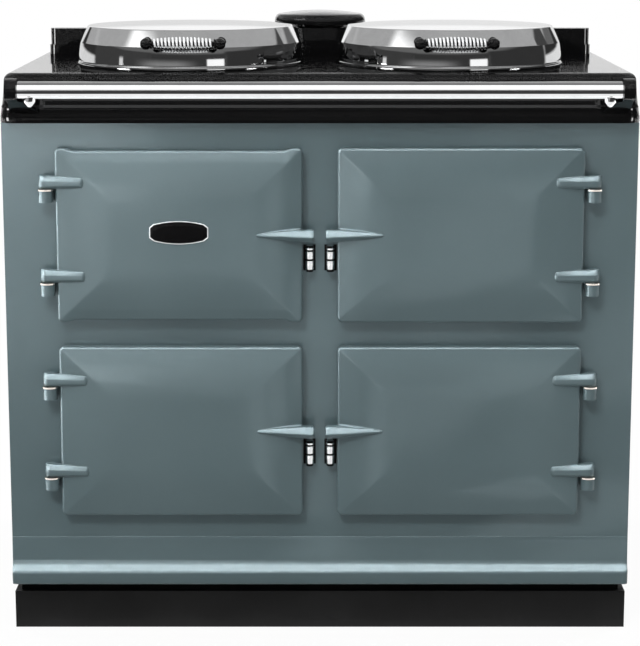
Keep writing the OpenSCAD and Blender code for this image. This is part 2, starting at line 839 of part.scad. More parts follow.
module oven_shelves() {
    half = oven_w / 2 - shelf_frame_r - 2;
    inset = 10;
    front = plate_t + runner_front + inset;
    long = oven_back - runner_rear - inset - front;
    color(chrome) placed() for (o = ovens) at_door(o[0], o[1])
        translate([0, front, -oven_h / 2 + runner_pitch + shelf_frame_r + fit]) {
            for (s = sides) translate([s * half, 0, 0]) rod_y(shelf_frame_r, long);
            for (y = [0, long]) translate([0, y, 0]) along_x(2 * half) cylinder(r = shelf_frame_r, h = 2 * half);
            for (s = sides, y = [0, long]) translate([s * half, y, 0]) sphere(shelf_frame_r);
            for (i = [1 : shelf_bars]) translate([-half + 2 * half * i / (shelf_bars + 1), 0, 0])
                rod_y(shelf_bar_r, long);
        }
}

module door_seals() {
    thick = door_standoff - liner_t - fit;
    half_x = oven_w / 2 + 1;
    half_z = oven_h / 2 + 1;
    color(wool) placed() for (o = ovens) at_door(o[0], o[1]) difference() {
        block([-half_x - seal_w, -thick, -half_z - seal_w], [half_x + seal_w, 0, half_z + seal_w]);
        block([-half_x, -thick - cut, -half_z], [half_x, cut, half_z]);
    }
}

// A loop that hangs under each oven's roof from the rear wall, and rings under each hotplate
module heating_elements() {
    reach = oven_d - 80;
    color(soot) placed() {
        for (o = ovens, half = [oven_w * 0.16, oven_w * 0.32]) at_door(o[0], o[1])
            translate([0, oven_back - fit, oven_h / 2 - element_drop]) {
                for (s = sides) translate([s * half, -reach, 0]) rod_y(element_r, reach);
                translate([0, -reach, 0]) along_x(2 * half) cylinder(r = element_r, h = 2 * half);
                for (s = sides) translate([s * half, -reach, 0]) sphere(element_r);
            }
        for (s = sides, r = [cradle_r * 0.4, cradle_r * 0.6, cradle_r * 0.8])
            translate([s * hotplate_x, hotplate_y, hotplate_under - element_r - fit])
                rotate_extrude() translate([r, 0]) circle(element_r, $fn = 16);
    }
}

post_x = [for (s = sides) s * post_out];
post_y = [plate_t + post_inset, oven_back - post_inset - post_w];

module posts(side, low, high) {
    for (px = post_x, py = post_y)
        block([side * door_cx + px - post_w / 2, py, low], [side * door_cx + px + post_w / 2, py + post_w, high]);
}

module inner_supports() {
    cradle_z = hotplate_under - cradle_w;
    upper_under = door_z(upper) - oven_h / 2 - oven_wall;
    leg = cradle_r / sqrt(2);
    color(steel) placed() {
        for (s = sides) posts(s, deck_top, oven_under);
        posts(right, lower_over, upper_under);
        for (s = sides) {
            foot = s == right ? oven_over : lower_over;
            translate([s * hotplate_x, hotplate_y, 0]) {
                translate([0, 0, cradle_z]) difference() {
                    cylinder(r = cradle_r + cradle_w / 2, h = cradle_w);
                    translate([0, 0, -cut]) cylinder(r = cradle_r - cradle_w / 2, h = cradle_w + 2 * cut);
                }
                for (sx = sides, sy = sides)
                    block([sx * leg - cradle_w / 2, sy * leg - cradle_w / 2, foot],
                          [sx * leg + cradle_w / 2, sy * leg + cradle_w / 2, cradle_z + skin]);
            }
        }
    }
}

module insulation() {
    side_low = oven_out_x + fit;
    between = stub_x - fit;
    color(wool) placed() {
        for (s = sides) mirror([s < 0 ? 1 : 0, 0, 0])
            block([side_low, plate_t + fit, deck_top + fit], [panel_in_x - fit, batt_end, front_top - fit]);
        block([-oven_out_x, batt_y, terminal_z + terminal_h / 2 + fit], [oven_out_x, batt_end, front_top - fit]);
        block([-between, plate_t + fit, oven_under],
              [between, min(vent_stub_y - stub_r, vent_y - duct_r) - fit, oven_over]);
        difference() {
            block([-oven_out_x, plate_t + fit, deck_top + fit], [oven_out_x, oven_back, oven_under - fit]);
            for (s = sides, px = post_x, py = post_y)
                block([s * door_cx + px - post_w / 2 - fit, py - fit, deck_top],
                      [s * door_cx + px + post_w / 2 + fit, py + post_w + fit, oven_under]);
        }
        difference() {
            block([-oven_out_x, plate_t + fit, oven_over + fit], [oven_out_x, batt_y - fit, front_top - fit]);
            for (s = sides) translate([s * hotplate_x, hotplate_y, oven_over])
                cylinder(r = hob_hole_r, h = front_top - oven_over);
            translate([0, vent_y, oven_over]) cylinder(r = duct_r + fit, h = front_top - oven_over);
        }
    }
}

// ---- Hotplates ----

module hotplate(side) {
    rim = plate_bevel;
    color(soot) placed() translate([side * hotplate_x, hotplate_y, hotplate_under]) rotate_extrude(convexity = 4)
        polygon([[0, 0], [hotplate_r, 0], [hotplate_r, hotplate_t - rim], [hotplate_r - rim, hotplate_t],
                 [0, hotplate_t]], convexity = 2);
}

module boiling_plate() {
    hotplate(left);
}

module simmering_plate() {
    hotplate(right);
}

module hotplate_rings() {
    color(chrome) placed() for (s = sides) translate([s * hotplate_x, hotplate_y, hob_z + ring_up - ring_h])
        difference() {
            cylinder(r = ring_r, h = ring_h);
            translate([0, 0, -cut]) cylinder(r = hotplate_r + fit, h = ring_h + 2 * cut);
        }
}

// ---- Controls and supply ----

knob_x = [-knob_pitch, 0, knob_pitch];
spindle_l = control_t + switch_d - 6;

module control_panel() {
    switch_r = knob_r - 4;
    back = control_d + control_t;
    color(black) placed() translate([-door_cx, plate_t, door_z(upper)]) difference() {
        union() {
            block([-oven_w / 2 - control_t, 0, -oven_h / 2 - control_t],
                  [oven_w / 2 + control_t, back, oven_h / 2 + control_t]);
            for (x = knob_x) translate([x, back - skin, 0]) rod_y(switch_r, switch_d);
        }
        block([-oven_w / 2, -cut, -oven_h / 2], [oven_w / 2, control_d, oven_h / 2]);
        for (x = knob_x) translate([x, control_d - cut, 0]) rod_y(spindle_r + running, cut + spindle_l + 2);
    }
}

// A knob with a raised pointer and a spindle that runs in the switch body
module knob(index) {
    half = pointer_w / 2;
    color(black) placed() translate([-door_cx + knob_x[index], plate_t + control_d - fit - knob_d, door_z(upper)]) {
        rod_y(knob_r, knob_d);
        translate([0, knob_d - skin, 0]) rod_y(spindle_r, fit + spindle_l);
        block([-half, -pointer_h, half], [half, skin, knob_r - half]);
    }
}

module boiling_knob() {
    knob(0);
}

module oven_knob() {
    knob(1);
}

module simmering_knob() {
    knob(2);
}

module terminal_box() {
    wall = terminal_t;
    half_w = terminal_w / 2;
    half_h = terminal_h / 2;
    color(steel) placed() translate([terminal_x, back_inner, terminal_z]) difference() {
        union() {
            block([-half_w, -terminal_d, -half_h], [half_w, 0, half_h]);
            translate([0, -cut, 0]) rod_y(gland_r, cut + back_t + gland_out);
        }
        block([-half_w + wall, -terminal_d + wall, -half_h + wall], [half_w - wall, -wall, half_h - wall]);
        translate([0, -wall - cut, 0]) rod_y(gland_bore_r, wall + back_t + gland_out + 2 * cut);
    }
}

// ---- Hinges and catches ----

module hinge_pins() {
    top = strap_h - strap_cap - 2;
    bottom = -washer_t - fit - boss_h + 3;
    color(steel) placed() for (side = sides, row = rows) at_door(side, row) hinge_places()
        translate([0, 0, bottom]) cylinder(r = pin_r, h = top - bottom);
}

module hinge_washers() {
    color(brass) placed() for (side = sides, row = rows) at_door(side, row) hinge_places()
        translate([0, 0, -washer_t - fit / 2]) difference() {
            cylinder(r = washer_r, h = washer_t);
            translate([0, 0, -cut]) cylinder(r = pin_r + fit, h = washer_t + 2 * cut);
        }
}

module at_catch() {
    translate([-door_w / 2 - catch_in, -catch_front, -catch_drop]) children();
}

module catch_brackets() {
    half = roller_l / 2 + fit;
    half_w = min(catch_in - 1, roller_r + 3.5);
    ear_out = axle_r + 3;
    color(black) placed() for (side = sides, row = rows) at_door(side, row) at_catch() {
        block([-half_w + 1, catch_front - bracket_t, -half - bracket_t], [half_w, catch_front, half + bracket_t]);
        for (z = [-half - bracket_t, half]) translate([0, 0, z]) {
            cylinder(r = ear_out, h = bracket_t);
            block([-ear_out + 1, 0, 0], [ear_out - 1, catch_front - bracket_t + skin, bracket_t]);
        }
        translate([0, 0, -half - bracket_t / 2]) cylinder(r = axle_r, h = 2 * half + bracket_t);
    }
}

// A roller with a narrow groove near its top and another at its middle
module catch_roller(side, row) {
    half = roller_l / 2;
    neck = roller_r - 1.5;
    chamfer = 0.8;
    outline = [[axle_r + running, -half], [roller_r - chamfer, -half], [roller_r, -half + chamfer],
               [roller_r, -1.5], [neck, -0.8], [neck, 0.8], [roller_r, 1.5],
               [roller_r, half - 6], [neck, half - 5], [neck, half - 3.5], [roller_r, half - 2.6],
               [roller_r, half - chamfer], [roller_r - chamfer, half], [axle_r + running, half]];
    color(chrome) placed() at_door(side, row) at_catch() rotate_extrude() polygon(outline);
}

module control_roller() {
    catch_roller(left, upper);
}

module roasting_roller() {
    catch_roller(right, upper);
}

module baking_roller() {
    catch_roller(left, lower);
}

module simmering_roller() {
    catch_roller(right, lower);
}

// ---- Doors ----

// The face rises fast from the edge and levels off, so creases run in from the corners
function crown(t) = door_crown * (1 - pow(1 - t, 2));

module door_blank() {
    steps = 5;
    hull() {
        facing(door_standoff) linear_extrude(door_edge_t - door_edge_r)
            round_rect(door_w, door_h, door_corner_r, $fn = hull_fn);
        for (a = [30, 60]) facing(door_face - door_edge_r + door_edge_r * sin(a)) linear_extrude(skin)
            round_rect(door_w - 2 * door_edge_r * (1 - cos(a)), door_h - 2 * door_edge_r * (1 - cos(a)),
                       door_corner_r - door_edge_r * (1 - cos(a)), $fn = hull_fn);
        for (i = [0 : steps]) facing(door_face + crown(i / steps) - skin) linear_extrude(skin)
            square([door_w - 2 * (door_edge_r + i / steps * crown_run),
                    door_h - 2 * (door_edge_r + i / steps * crown_run * 0.95)], center = true);
    }
}

module hinge_strap() {
    hull() {
        cylinder(r = strap_r, h = strap_h, $fn = hull_fn);
        translate([-strap_reach, 0, strap_h / 2])
            block([0, hinge_front - door_front + 2, -strap_tip_h / 2], [skin, 4, strap_tip_h / 2]);
    }
}

module lever_handle() {
    end_r = handle_end_r;
    end_x = -door_w / 2 - handle_over + end_r;
    low = handle_up - handle_h / 2;
    hull() {
        for (out = [door_face + 1 + end_r, handle_front - end_r])
            translate([end_x, -out, low]) cylinder(r = end_r, h = handle_h, $fn = hull_fn);
        translate([-door_w / 2 + handle_in, -door_front + 1, handle_up]) sphere(2, $fn = 16);
    }
}

module door_casting(side, row) {
    color(enamel) placed() at_door(side, row) difference() {
        union() {
            door_blank();
            hinge_places() hinge_strap();
            lever_handle();
        }
        block([-door_w / 2 + door_wall, -door_standoff - door_edge_t + door_face_t, -door_h / 2 + door_wall],
              [door_w / 2 - door_wall, -door_standoff + cut, door_h / 2 - door_wall]);
        hinge_places() translate([0, 0, -cut]) cylinder(r = pin_r + running, h = strap_h - strap_cap + cut);
        children();
    }
}

// Air slots with sloping ends along the upper and lower edges
module air_slots() {
    half = slot_l / 2;
    edge = door_h / 2;
    for (s = sides) facing(-cut) linear_extrude(door_front + 2 * cut)
        polygon([[-half - slot_ramp, s * (edge + cut)], [-half, s * (edge - slot_d)],
                 [half, s * (edge - slot_d)], [half + slot_ramp, s * (edge + cut)]]);
}

module control_door() {
    door_casting(left, upper) air_slots();
}

module roasting_door() {
    door_casting(right, upper);
}

module baking_door() {
    door_casting(left, lower);
}

module simmering_door() {
    door_casting(right, lower);
}

module liner_flange(inset) {
    block([-door_w / 2 + inset, -door_standoff, -door_h / 2 + inset],
          [door_w / 2 - inset, -door_standoff + liner_t, door_h / 2 - inset]);
}

module control_door_liner() {
    color(steel) placed() at_door(left, upper) liner_flange(slot_d + 1);
}

pan_half_x = oven_w / 2 - pan_gap;
pan_half_z = oven_h / 2 - pan_gap;

module door_liner(side, row) {
    color(steel) placed() at_door(side, row) difference() {
        union() {
            liner_flange(liner_inset);
            block([-pan_half_x, -door_standoff, -pan_half_z], [pan_half_x, pan_d, pan_half_z]);
        }
        block([-pan_half_x + pan_t, -door_standoff - cut, -pan_half_z + pan_t],
              [pan_half_x - pan_t, pan_d - pan_t, pan_half_z - pan_t]);
    }
}

module door_pad(side, row) {
    pan = pan_t + fit;
    wall = door_wall + fit;
    color(wool) placed() at_door(side, row) {
        block([-door_w / 2 + wall, -door_face + door_face_t + fit, -door_h / 2 + wall],
              [door_w / 2 - wall, -door_standoff - fit, door_h / 2 - wall]);
        block([-pan_half_x + pan, -door_standoff - 2, -pan_half_z + pan],
              [pan_half_x - pan, pan_d - pan, pan_half_z - pan]);
    }
}

module roasting_door_liner() {
    door_liner(right, upper);
}

module baking_door_liner() {
    door_liner(left, lower);
}

module simmering_door_liner() {
    door_liner(right, lower);
}

module roasting_door_pad() {
    door_pad(right, upper);
}

module baking_door_pad() {
    door_pad(left, lower);
}

module simmering_door_pad() {
    door_pad(right, lower);
}

// A blank oval plate
module badge_plate() {
    color(chrome) placed() at_door(left, upper) translate([0, 0, badge_up]) facing(door_front)
        linear_extrude(badge_t) polygon([for (a = [0 : 6 : 354]) [badge_w / 2 * cos(a), badge_h / 2 * sin(a)]]);
}

// ---- Lids ----

module at_lid(side) {
    translate([side * hotplate_x, hotplate_y, hob_z]) children();
}

lid_flat_r = lid_r - lid_edge_in - lid_edge_r;

// Outline of a lid at a distance outside its sheet (negative for inside)
function lid_points(grow) = concat(
    [[lid_r + grow, fit], [lid_r + grow, bead_h]],
    [[lid_r - bead_slope + grow, bead_h + bead_slope], [lid_r - crease_in + grow, crease_h]],
    [for (a = [15 : 25 : 90])
        [lid_flat_r + lid_edge_r * cos(a) + grow, lid_edge_h - lid_edge_r * (1 - sin(a)) + grow]],
    [for (i = [1 : 5]) [lid_flat_r * (1 - i / 5), lid_edge_h + grow + lid_dome * (1 - pow(1 - i / 5, 2))]]);

module lid_shell(side) {
    inner = lid_points(-lid_t);
    last = len(inner) - 1;
    color(chrome) placed() at_lid(side) rotate_extrude()
        polygon(concat(lid_points(0), [for (i = [last : -1 : 0]) inner[i]]));
}

module boiling_lid() {
    lid_shell(left);
}

module simmering_lid() {
    lid_shell(right);
}

module lid_liner(side) {
    t = lid_liner_t;
    h = liner_edge_h;
    bend = 3 * t;
    half = lid_r - lid_t - bead_slope - crease_in * (liner_up - bead_h) / (crease_h - bead_h) - fit;
    lean = crease_in * h / (crease_h - bead_h);
    color(steel) placed() at_lid(side) translate([0, 0, liner_up]) rotate_extrude()
        polygon([[0, 0], [half - bend, 0], [half, t], [half - lean, h], [half - lean - t, h], [half - t, 2 * t],
                 [half - bend - t, t], [0, t]]);
}

module boiling_lid_liner() {
    lid_liner(left);
}

module simmering_lid_liner() {
    lid_liner(right);
}

module lid_space() {
    rotate_extrude() polygon(concat([[0, -cut], [lid_r + fit, -cut]], lid_points(fit)));
}

// The arm reaches from the lid's side to the hinge pin
module lid_arm(side) {
    from_lid = lid_flat_r;
    root_low = lid_hinge_up - arm_r;
    eye_y = lid_r + lid_hinge_back;
    color(black) placed() at_lid(side) difference() {
        hull() {
            translate([0, eye_y, lid_hinge_up]) along_x(arm_w) cylinder(r = arm_r, h = arm_w, $fn = hull_fn);
            block([-arm_w / 2, from_lid, root_low], [arm_w / 2, from_lid + skin, root_low + root_h]);
        }
        lid_space();
        translate([0, eye_y, lid_hinge_up]) along_x(arm_w + 2 * cut)
            cylinder(r = lid_pin_r + running, h = arm_w + 2 * cut);
    }
}

module boiling_lid_arm() {
    lid_arm(left);
}

module simmering_lid_arm() {
    lid_arm(right);
}

coil_y = -lid_r - coil_front;

// A barrel-shaped coil, drawn as rings of wire on a shared core
module lid_coil(side) {
    pitch = coil_l / coil_turns;
    arc = 6;
    radius = function(x) coil_end_r + (coil_mid_r - coil_end_r) * (1 - pow(2 * x / coil_l, 2)) - wire_r;
    outline = [for (i = [0 : coil_turns - 1], a = [0 : arc])
        let (x = -coil_l / 2 + (i + a / arc) * pitch) [radius(x) + wire_r * sin(180 * a / arc), x]];
    color(chrome) placed() at_lid(side) translate([0, coil_y, coil_up]) rotate([0, 90, 0]) rotate_extrude()
        polygon(concat([[rod_r + fit, -coil_l / 2]], outline, [[rod_r + fit, coil_l / 2]]));
}

module boiling_lid_coil() {
    lid_coil(left);
}

module simmering_lid_coil() {
    lid_coil(right);
}

module lid_posts(side) {
    post_at = coil_l / 2 + fit + post_ball_r;
    color(black) placed() at_lid(side) difference() {
        union() {
            translate([0, coil_y, coil_up]) along_x(2 * post_at) cylinder(r = rod_r, h = 2 * post_at);
            for (s = sides) translate([s * post_at, coil_y, coil_up]) {
                sphere(post_ball_r);
                rod_y(post_stem_r, coil_front + lid_edge_in + post_ball_r);
            }
        }
        lid_space();
    }
}

module boiling_lid_posts() {
    lid_posts(left);
}

module simmering_lid_posts() {
    lid_posts(right);
}

plinth();
base_frame();
levelling_feet();
base_moulding();
front_plate();
side_panels();
back_panel();
panel_screws();
top_plate();
rear_upstand();
vent_cap();
vent_duct();
handrail();
rail_brackets();
roasting_oven();
simmering_oven();
baking_oven();
oven_shelves();
door_seals();
heating_elements();
inner_supports();
insulation();
boiling_plate();
simmering_plate();
hotplate_rings();
lid_hinge_pins();
control_panel();
boiling_knob();
oven_knob();
simmering_knob();
terminal_box();
hinge_pins();
hinge_washers();
catch_brackets();
control_roller();
roasting_roller();
baking_roller();
simmering_roller();
control_door();
control_door_liner();
badge_plate();
roasting_door();
roasting_door_liner();
roasting_door_pad();
baking_door();
baking_door_liner();
baking_door_pad();
simmering_door();
simmering_door_liner();
simmering_door_pad();
boiling_lid();
boiling_lid_liner();
boiling_lid_arm();
boiling_lid_coil();
boiling_lid_posts();
simmering_lid();
simmering_lid_liner();
simmering_lid_arm();
simmering_lid_coil();
simmering_lid_posts();
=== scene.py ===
"""Looks of the cast iron range cooker: camera, light, stage, dense pieces and procedural materials."""
import json
import math

import bpy
import bmesh
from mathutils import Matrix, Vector, geometry

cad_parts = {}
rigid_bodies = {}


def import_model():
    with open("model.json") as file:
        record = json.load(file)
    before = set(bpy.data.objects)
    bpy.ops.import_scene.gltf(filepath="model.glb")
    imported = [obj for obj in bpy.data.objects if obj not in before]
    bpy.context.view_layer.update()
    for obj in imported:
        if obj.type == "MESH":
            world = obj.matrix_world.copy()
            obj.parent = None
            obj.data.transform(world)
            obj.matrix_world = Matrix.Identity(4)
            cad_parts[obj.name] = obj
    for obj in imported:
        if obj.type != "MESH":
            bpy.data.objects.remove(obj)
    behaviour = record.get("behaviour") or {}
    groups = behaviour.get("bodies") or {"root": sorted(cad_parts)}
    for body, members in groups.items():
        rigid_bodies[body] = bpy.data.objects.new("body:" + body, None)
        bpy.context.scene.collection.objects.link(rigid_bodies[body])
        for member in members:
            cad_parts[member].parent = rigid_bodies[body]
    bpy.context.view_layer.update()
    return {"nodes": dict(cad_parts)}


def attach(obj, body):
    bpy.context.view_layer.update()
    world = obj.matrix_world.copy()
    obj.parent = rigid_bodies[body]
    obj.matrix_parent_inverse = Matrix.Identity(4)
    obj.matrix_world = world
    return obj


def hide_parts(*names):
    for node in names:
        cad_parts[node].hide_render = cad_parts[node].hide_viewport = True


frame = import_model()
NODES = frame["nodes"]

# Sizes in millimetres, as in the part's source. Y is measured from the front plate's face.
FACE_Y = -286.5
BODY_W, BODY_D = 982.0, 655.0
DECK_TOP, FRONT_BOTTOM, HOB_Z = 75.0, 152.0, 889.0
DOOR_W, DOOR_H, DOOR_CX = 380.0, 272.0, 217.0
DOOR_Z = {"upper": 640.0, "lower": 329.5}
STANDOFF, EDGE_W, CROWN, RUN = 5.0, 25.0, 8.0, 86.0
EDGE_R, CORNER_R, WALL, FACE_T = 5.0, 8.0, 8.0, 6.0
LEFT, RIGHT = -1, 1
DOORS = (("control", LEFT, "upper"), ("roasting", RIGHT, "upper"),
         ("baking", LEFT, "lower"), ("simmering", RIGHT, "lower"))
DOOR_NAMES = [door[0] for door in DOORS]
LIDS = (("boiling", LEFT), ("simmering", RIGHT))
LID_NAMES = [lid[0] for lid in LIDS]


# ---- Mesh helpers: everything is built in millimetres in the row frame ----

def row(x, y, z):
    """A point given from the front plate's face, in the row frame in metres."""
    return Vector((x, y + FACE_Y, z)) * 0.001


def new_object(name, data):
    obj = bpy.data.objects.new(name, data)
    bpy.context.scene.collection.objects.link(obj)
    return obj


def build(name, parts, body, material, nodes=(), sharp=40.0):
    """One object from (vertices, faces) lists, riding on a body and standing for CAD nodes."""
    mesh = bpy.data.meshes.new(name)
    verts, faces = [], []
    for vs, fs in parts:
        start = len(verts)
        verts += vs
        faces += [[start + i for i in f] for f in fs]
    mesh.from_pydata([row(*v) for v in verts], [], faces)
    bm = bmesh.new()
    bm.from_mesh(mesh)
    bmesh.ops.remove_doubles(bm, verts=bm.verts, dist=1e-6)
    bmesh.ops.recalc_face_normals(bm, faces=bm.faces)
    bm.to_mesh(mesh)
    bm.free()
    mesh.shade_smooth()
    if sharp:
        mesh.set_sharp_from_angle(angle=math.radians(sharp))
    obj = new_object(name, mesh)
    mesh.materials.append(material)
    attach(obj, body)
    if nodes:
        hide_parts(*nodes)
    return obj


def ramp_01(x):
    """0 below 0, 1 above 1, smooth between."""
    x = min(1.0, max(0.0, x))
    return x * x * (3 - 2 * x)


def loft(sections, closed=True, caps=True):
    """Faces between sections of equal point counts."""
    n = len(sections[0])
    verts = [p for s in sections for p in s]
    faces = []
    for i in range(len(sections) - 1):
        for j in range(n if closed else n - 1):
            k = (j + 1) % n
            faces.append([i * n + j, i * n + k, (i + 1) * n + k, (i + 1) * n + j])
    if caps:
        faces.append(list(range(n))[::-1])
        faces.append([(len(sections) - 1) * n + j for j in range(n)])
    return verts, faces


def revolve(profile, centre, axis="z", n=96):
    """A profile of (radius, height) turned about an axis through centre. Ends on the axis close by themselves."""
    rings = []
    for a in [2 * math.pi * i / n for i in range(n)]:
        ca, sa = math.cos(a), math.sin(a)
        points = [{"z": (r * ca, r * sa, h), "y": (r * ca, h, r * sa), "x": (h, r * ca, r * sa)}[axis]
                  for r, h in profile]
        rings.append([tuple(c + d for c, d in zip(centre, p)) for p in points])
    return loft(rings + [rings[0]], closed=False, caps=False)


def arc(cx, cy, r, a0, a1, steps):
    """Points on an arc, angles in degrees."""
    angles = [math.radians(a0 + (a1 - a0) * i / steps) for i in range(steps + 1)]
    return [(cx + r * math.cos(a), cy + r * math.sin(a)) for a in angles]


def round_profile(points, radii, steps=5):
    """Rounds the corners of an open polyline of (radius, height)."""
    out = [points[0]]
    for i in range(1, len(points) - 1):
        a, b, c = Vector(points[i - 1]), Vector(points[i]), Vector(points[i + 1])
        r = radii[i]
        d0, d1 = (a - b).normalized(), (c - b).normalized()
        angle = d0.angle(d1)
        if r <= 0 or angle > math.radians(179):
            out.append(tuple(b))
            continue
        reach = min(r / math.tan(angle / 2), (a - b).length * 0.49, (c - b).length * 0.49)
        p0, p1 = b + d0 * reach, b + d1 * reach
        for k in range(steps + 1):
            t = k / steps
            q = p0 * (1 - t) ** 2 + b * 2 * t * (1 - t) + p1 * t ** 2
            out.append(tuple(q))
    out.append(points[-1])
    return out


def tube(points, radius, sides):
    """A round wire along a path."""
    pts = [Vector(p) for p in points]
    angles = [2 * math.pi * k / sides for k in range(sides)]
    sections = []
    up = Vector((0.31, 0.23, 0.92)).normalized()
    for i, p in enumerate(pts):
        along = (pts[min(i + 1, len(pts) - 1)] - pts[max(i - 1, 0)]).normalized()
        side = along.cross(up)
        if side.length < 0.1:
            side = along.cross(Vector((1, 0, 0)))
        side.normalize()
        up = side.cross(along).normalized()
        sections.append([tuple(p + (side * math.cos(a) + up * math.sin(a)) * radius) for a in angles])
    return loft(sections)


def rounded(points, radii, steps=4):
    """A closed polygon with rounded corners, always with the same count of points."""
    out = []
    n = len(points)
    for i in range(n):
        a, b, c = Vector(points[i - 1]), Vector(points[i]), Vector(points[(i + 1) % n])
        d0, d1 = a - b, c - b
        reach = max(0.005, min(radii[i], d0.length * 0.45, d1.length * 0.45))
        p0, p1 = b + d0.normalized() * reach, b + d1.normalized() * reach
        for k in range(steps + 1):
            t = k / steps
            out.append(tuple(p0 * (1 - t) ** 2 + b * 2 * t * (1 - t) + p1 * t ** 2))
    return out


# ---- Materials ----

def add_node(t, kind, inputs=None, **settings):
    """A node with its settings, and its inputs by name or number: a socket is linked, and a value is set."""
    node = t.nodes.new("ShaderNode" + kind)
    for key, value in settings.items():
        setattr(node, key, value)
    for key, value in (inputs or {}).items():
        if isinstance(value, bpy.types.NodeSocket):
            t.links.new(value, node.inputs[key])
        else:
            node.inputs[key].default_value = value
    return node


def object_coords(t):
    return add_node(t, "TexCoord").outputs["Object"]


def blank_material(name):
    m = bpy.data.materials.new(name)
    m.use_nodes = True
    m.node_tree.nodes.clear()
    return m, m.node_tree


def surface(t, shader):
    add_node(t, "OutputMaterial", {"Surface": shader.outputs[0]})


def principled(m, inputs):
    surface(m.node_tree, add_node(m.node_tree, "BsdfPrincipled", inputs))
    return m


def noise(t, scale, detail=3.0, rough=0.5, stretch=None):
    """Noise in the object's own coordinates, which may be stretched along an axis."""
    where = object_coords(t)
    if stretch:
        where = add_node(t, "Mapping", {"Scale": stretch, "Vector": where}).outputs["Vector"]
    inputs = {"Scale": scale, "Detail": detail, "Roughness": rough, "Vector": where}
    return add_node(t, "TexNoise", inputs).outputs["Fac"]


def ramp(t, source, stops):
    """A colour ramp through (position, colour) stops."""
    node = add_node(t, "ValToRGB", {"Fac": source})
    elements = node.color_ramp.elements
    while len(elements) < len(stops):
        elements.new(0.5)
    for element, (position, colour) in zip(elements, stops):
        element.position = position
        element.color = (*colour, 1.0)
    return node.outputs["Color"]


def map_range(t, source, low, high, from_low=0.3, from_high=0.7):
    inputs = {"Value": source, "From Min": from_low, "From Max": from_high, "To Min": low, "To Max": high}
    return add_node(t, "MapRange", inputs).outputs["Result"]


def bump(t, *layers):
    """The normal over layers of (height, distance in metres)."""
    below = {}
    for height, distance in layers:
        node = add_node(t, "Bump", {"Strength": 1.0, "Distance": distance, "Height": height, **below})
        below = {"Normal": node.outputs["Normal"]}
    return below["Normal"]


def enamel(name, dark, light, rough, coat_rough, peel, wave, under):
    """Vitreous enamel: faint mottling, a little orange peel and a glassy coat over an under gloss."""
    m, t = blank_material(name)
    cloud, speck = noise(t, 5.0, 4.0), noise(t, 900.0, 2.0)
    mottle = {"Factor": 0.25, "A": ramp(t, cloud, [(0.3, dark), (0.7, light)]),
              "B": ramp(t, speck, [(0.35, dark), (0.65, light)])}
    normal = bump(t, (noise(t, 22.0, 1.0), wave), (noise(t, 140.0, 2.0), peel))
    return principled(m, {
        "Base Color": add_node(t, "Mix", mottle, data_type="RGBA").outputs["Result"],
        "Roughness": map_range(t, cloud, rough * 0.85, rough * 1.15), "Specular IOR Level": under,
        "Coat Weight": 1.0, "Coat Roughness": coat_rough, "Coat IOR": 1.5,
        "Normal": normal, "Coat Normal": normal})


def metal(name, colour, rough, vary=0.3, grain=0.0, stretch=None, scale=40.0):
    """Bare metal: its roughness varies by a share, and a stretched grain looks brushed."""
    m, t = blank_material(name)
    n = noise(t, scale, 4.0, 0.6, stretch)
    low = tuple(c * (1 - vary * 0.25) for c in colour)
    inputs = {"Metallic": 1.0, "Base Color": ramp(t, n, [(0.3, low), (0.7, colour)]),
              "Roughness": map_range(t, n, rough * (1 - vary), rough * (1 + vary))}
    if grain:
        inputs["Normal"] = bump(t, (noise(t, scale * 6, 3.0, 0.6, stretch), grain))
    return principled(m, inputs)


def rough_paint(name, dark, light, rough, grain, scale=300.0, metallic=0.0, shine=0.5):
    """Paint, rough iron or plastic: slow changes of colour and a fine grain."""
    m, t = blank_material(name)
    n = noise(t, scale, 4.0, 0.65)
    return principled(m, {
        "Base Color": ramp(t, noise(t, 12.0, 3.0), [(0.3, dark), (0.7, light)]),
        "Roughness": map_range(t, n, rough * 0.85, min(1.0, rough * 1.1)),
        "Specular IOR Level": shine, "Metallic": metallic, "Normal": bump(t, (n, grain))})


def fibre(name, dark, light, scale, grain):
    m, t = blank_material(name)
    n = noise(t, scale, 6.0, 0.7)
    return principled(m, {"Base Color": ramp(t, n, [(0.3, dark), (0.7, light)]), "Roughness": 0.95,
                          "Sheen Weight": 0.3, "Normal": bump(t, (n, grain))})


def rope(name):
    """Twisted glass rope: slanting bands."""
    m, t = blank_material(name)
    bands = {"Scale": 110.0, "Distortion": 1.2, "Vector": object_coords(t)}
    wave = add_node(t, "TexWave", bands, bands_direction="DIAGONAL").outputs["Fac"]
    return principled(m, {"Base Color": ramp(t, wave, [(0.0, (0.3, 0.28, 0.24)), (1.0, (0.72, 0.7, 0.64))]),
                          "Roughness": 0.9, "Normal": bump(t, (wave, 0.0006))})


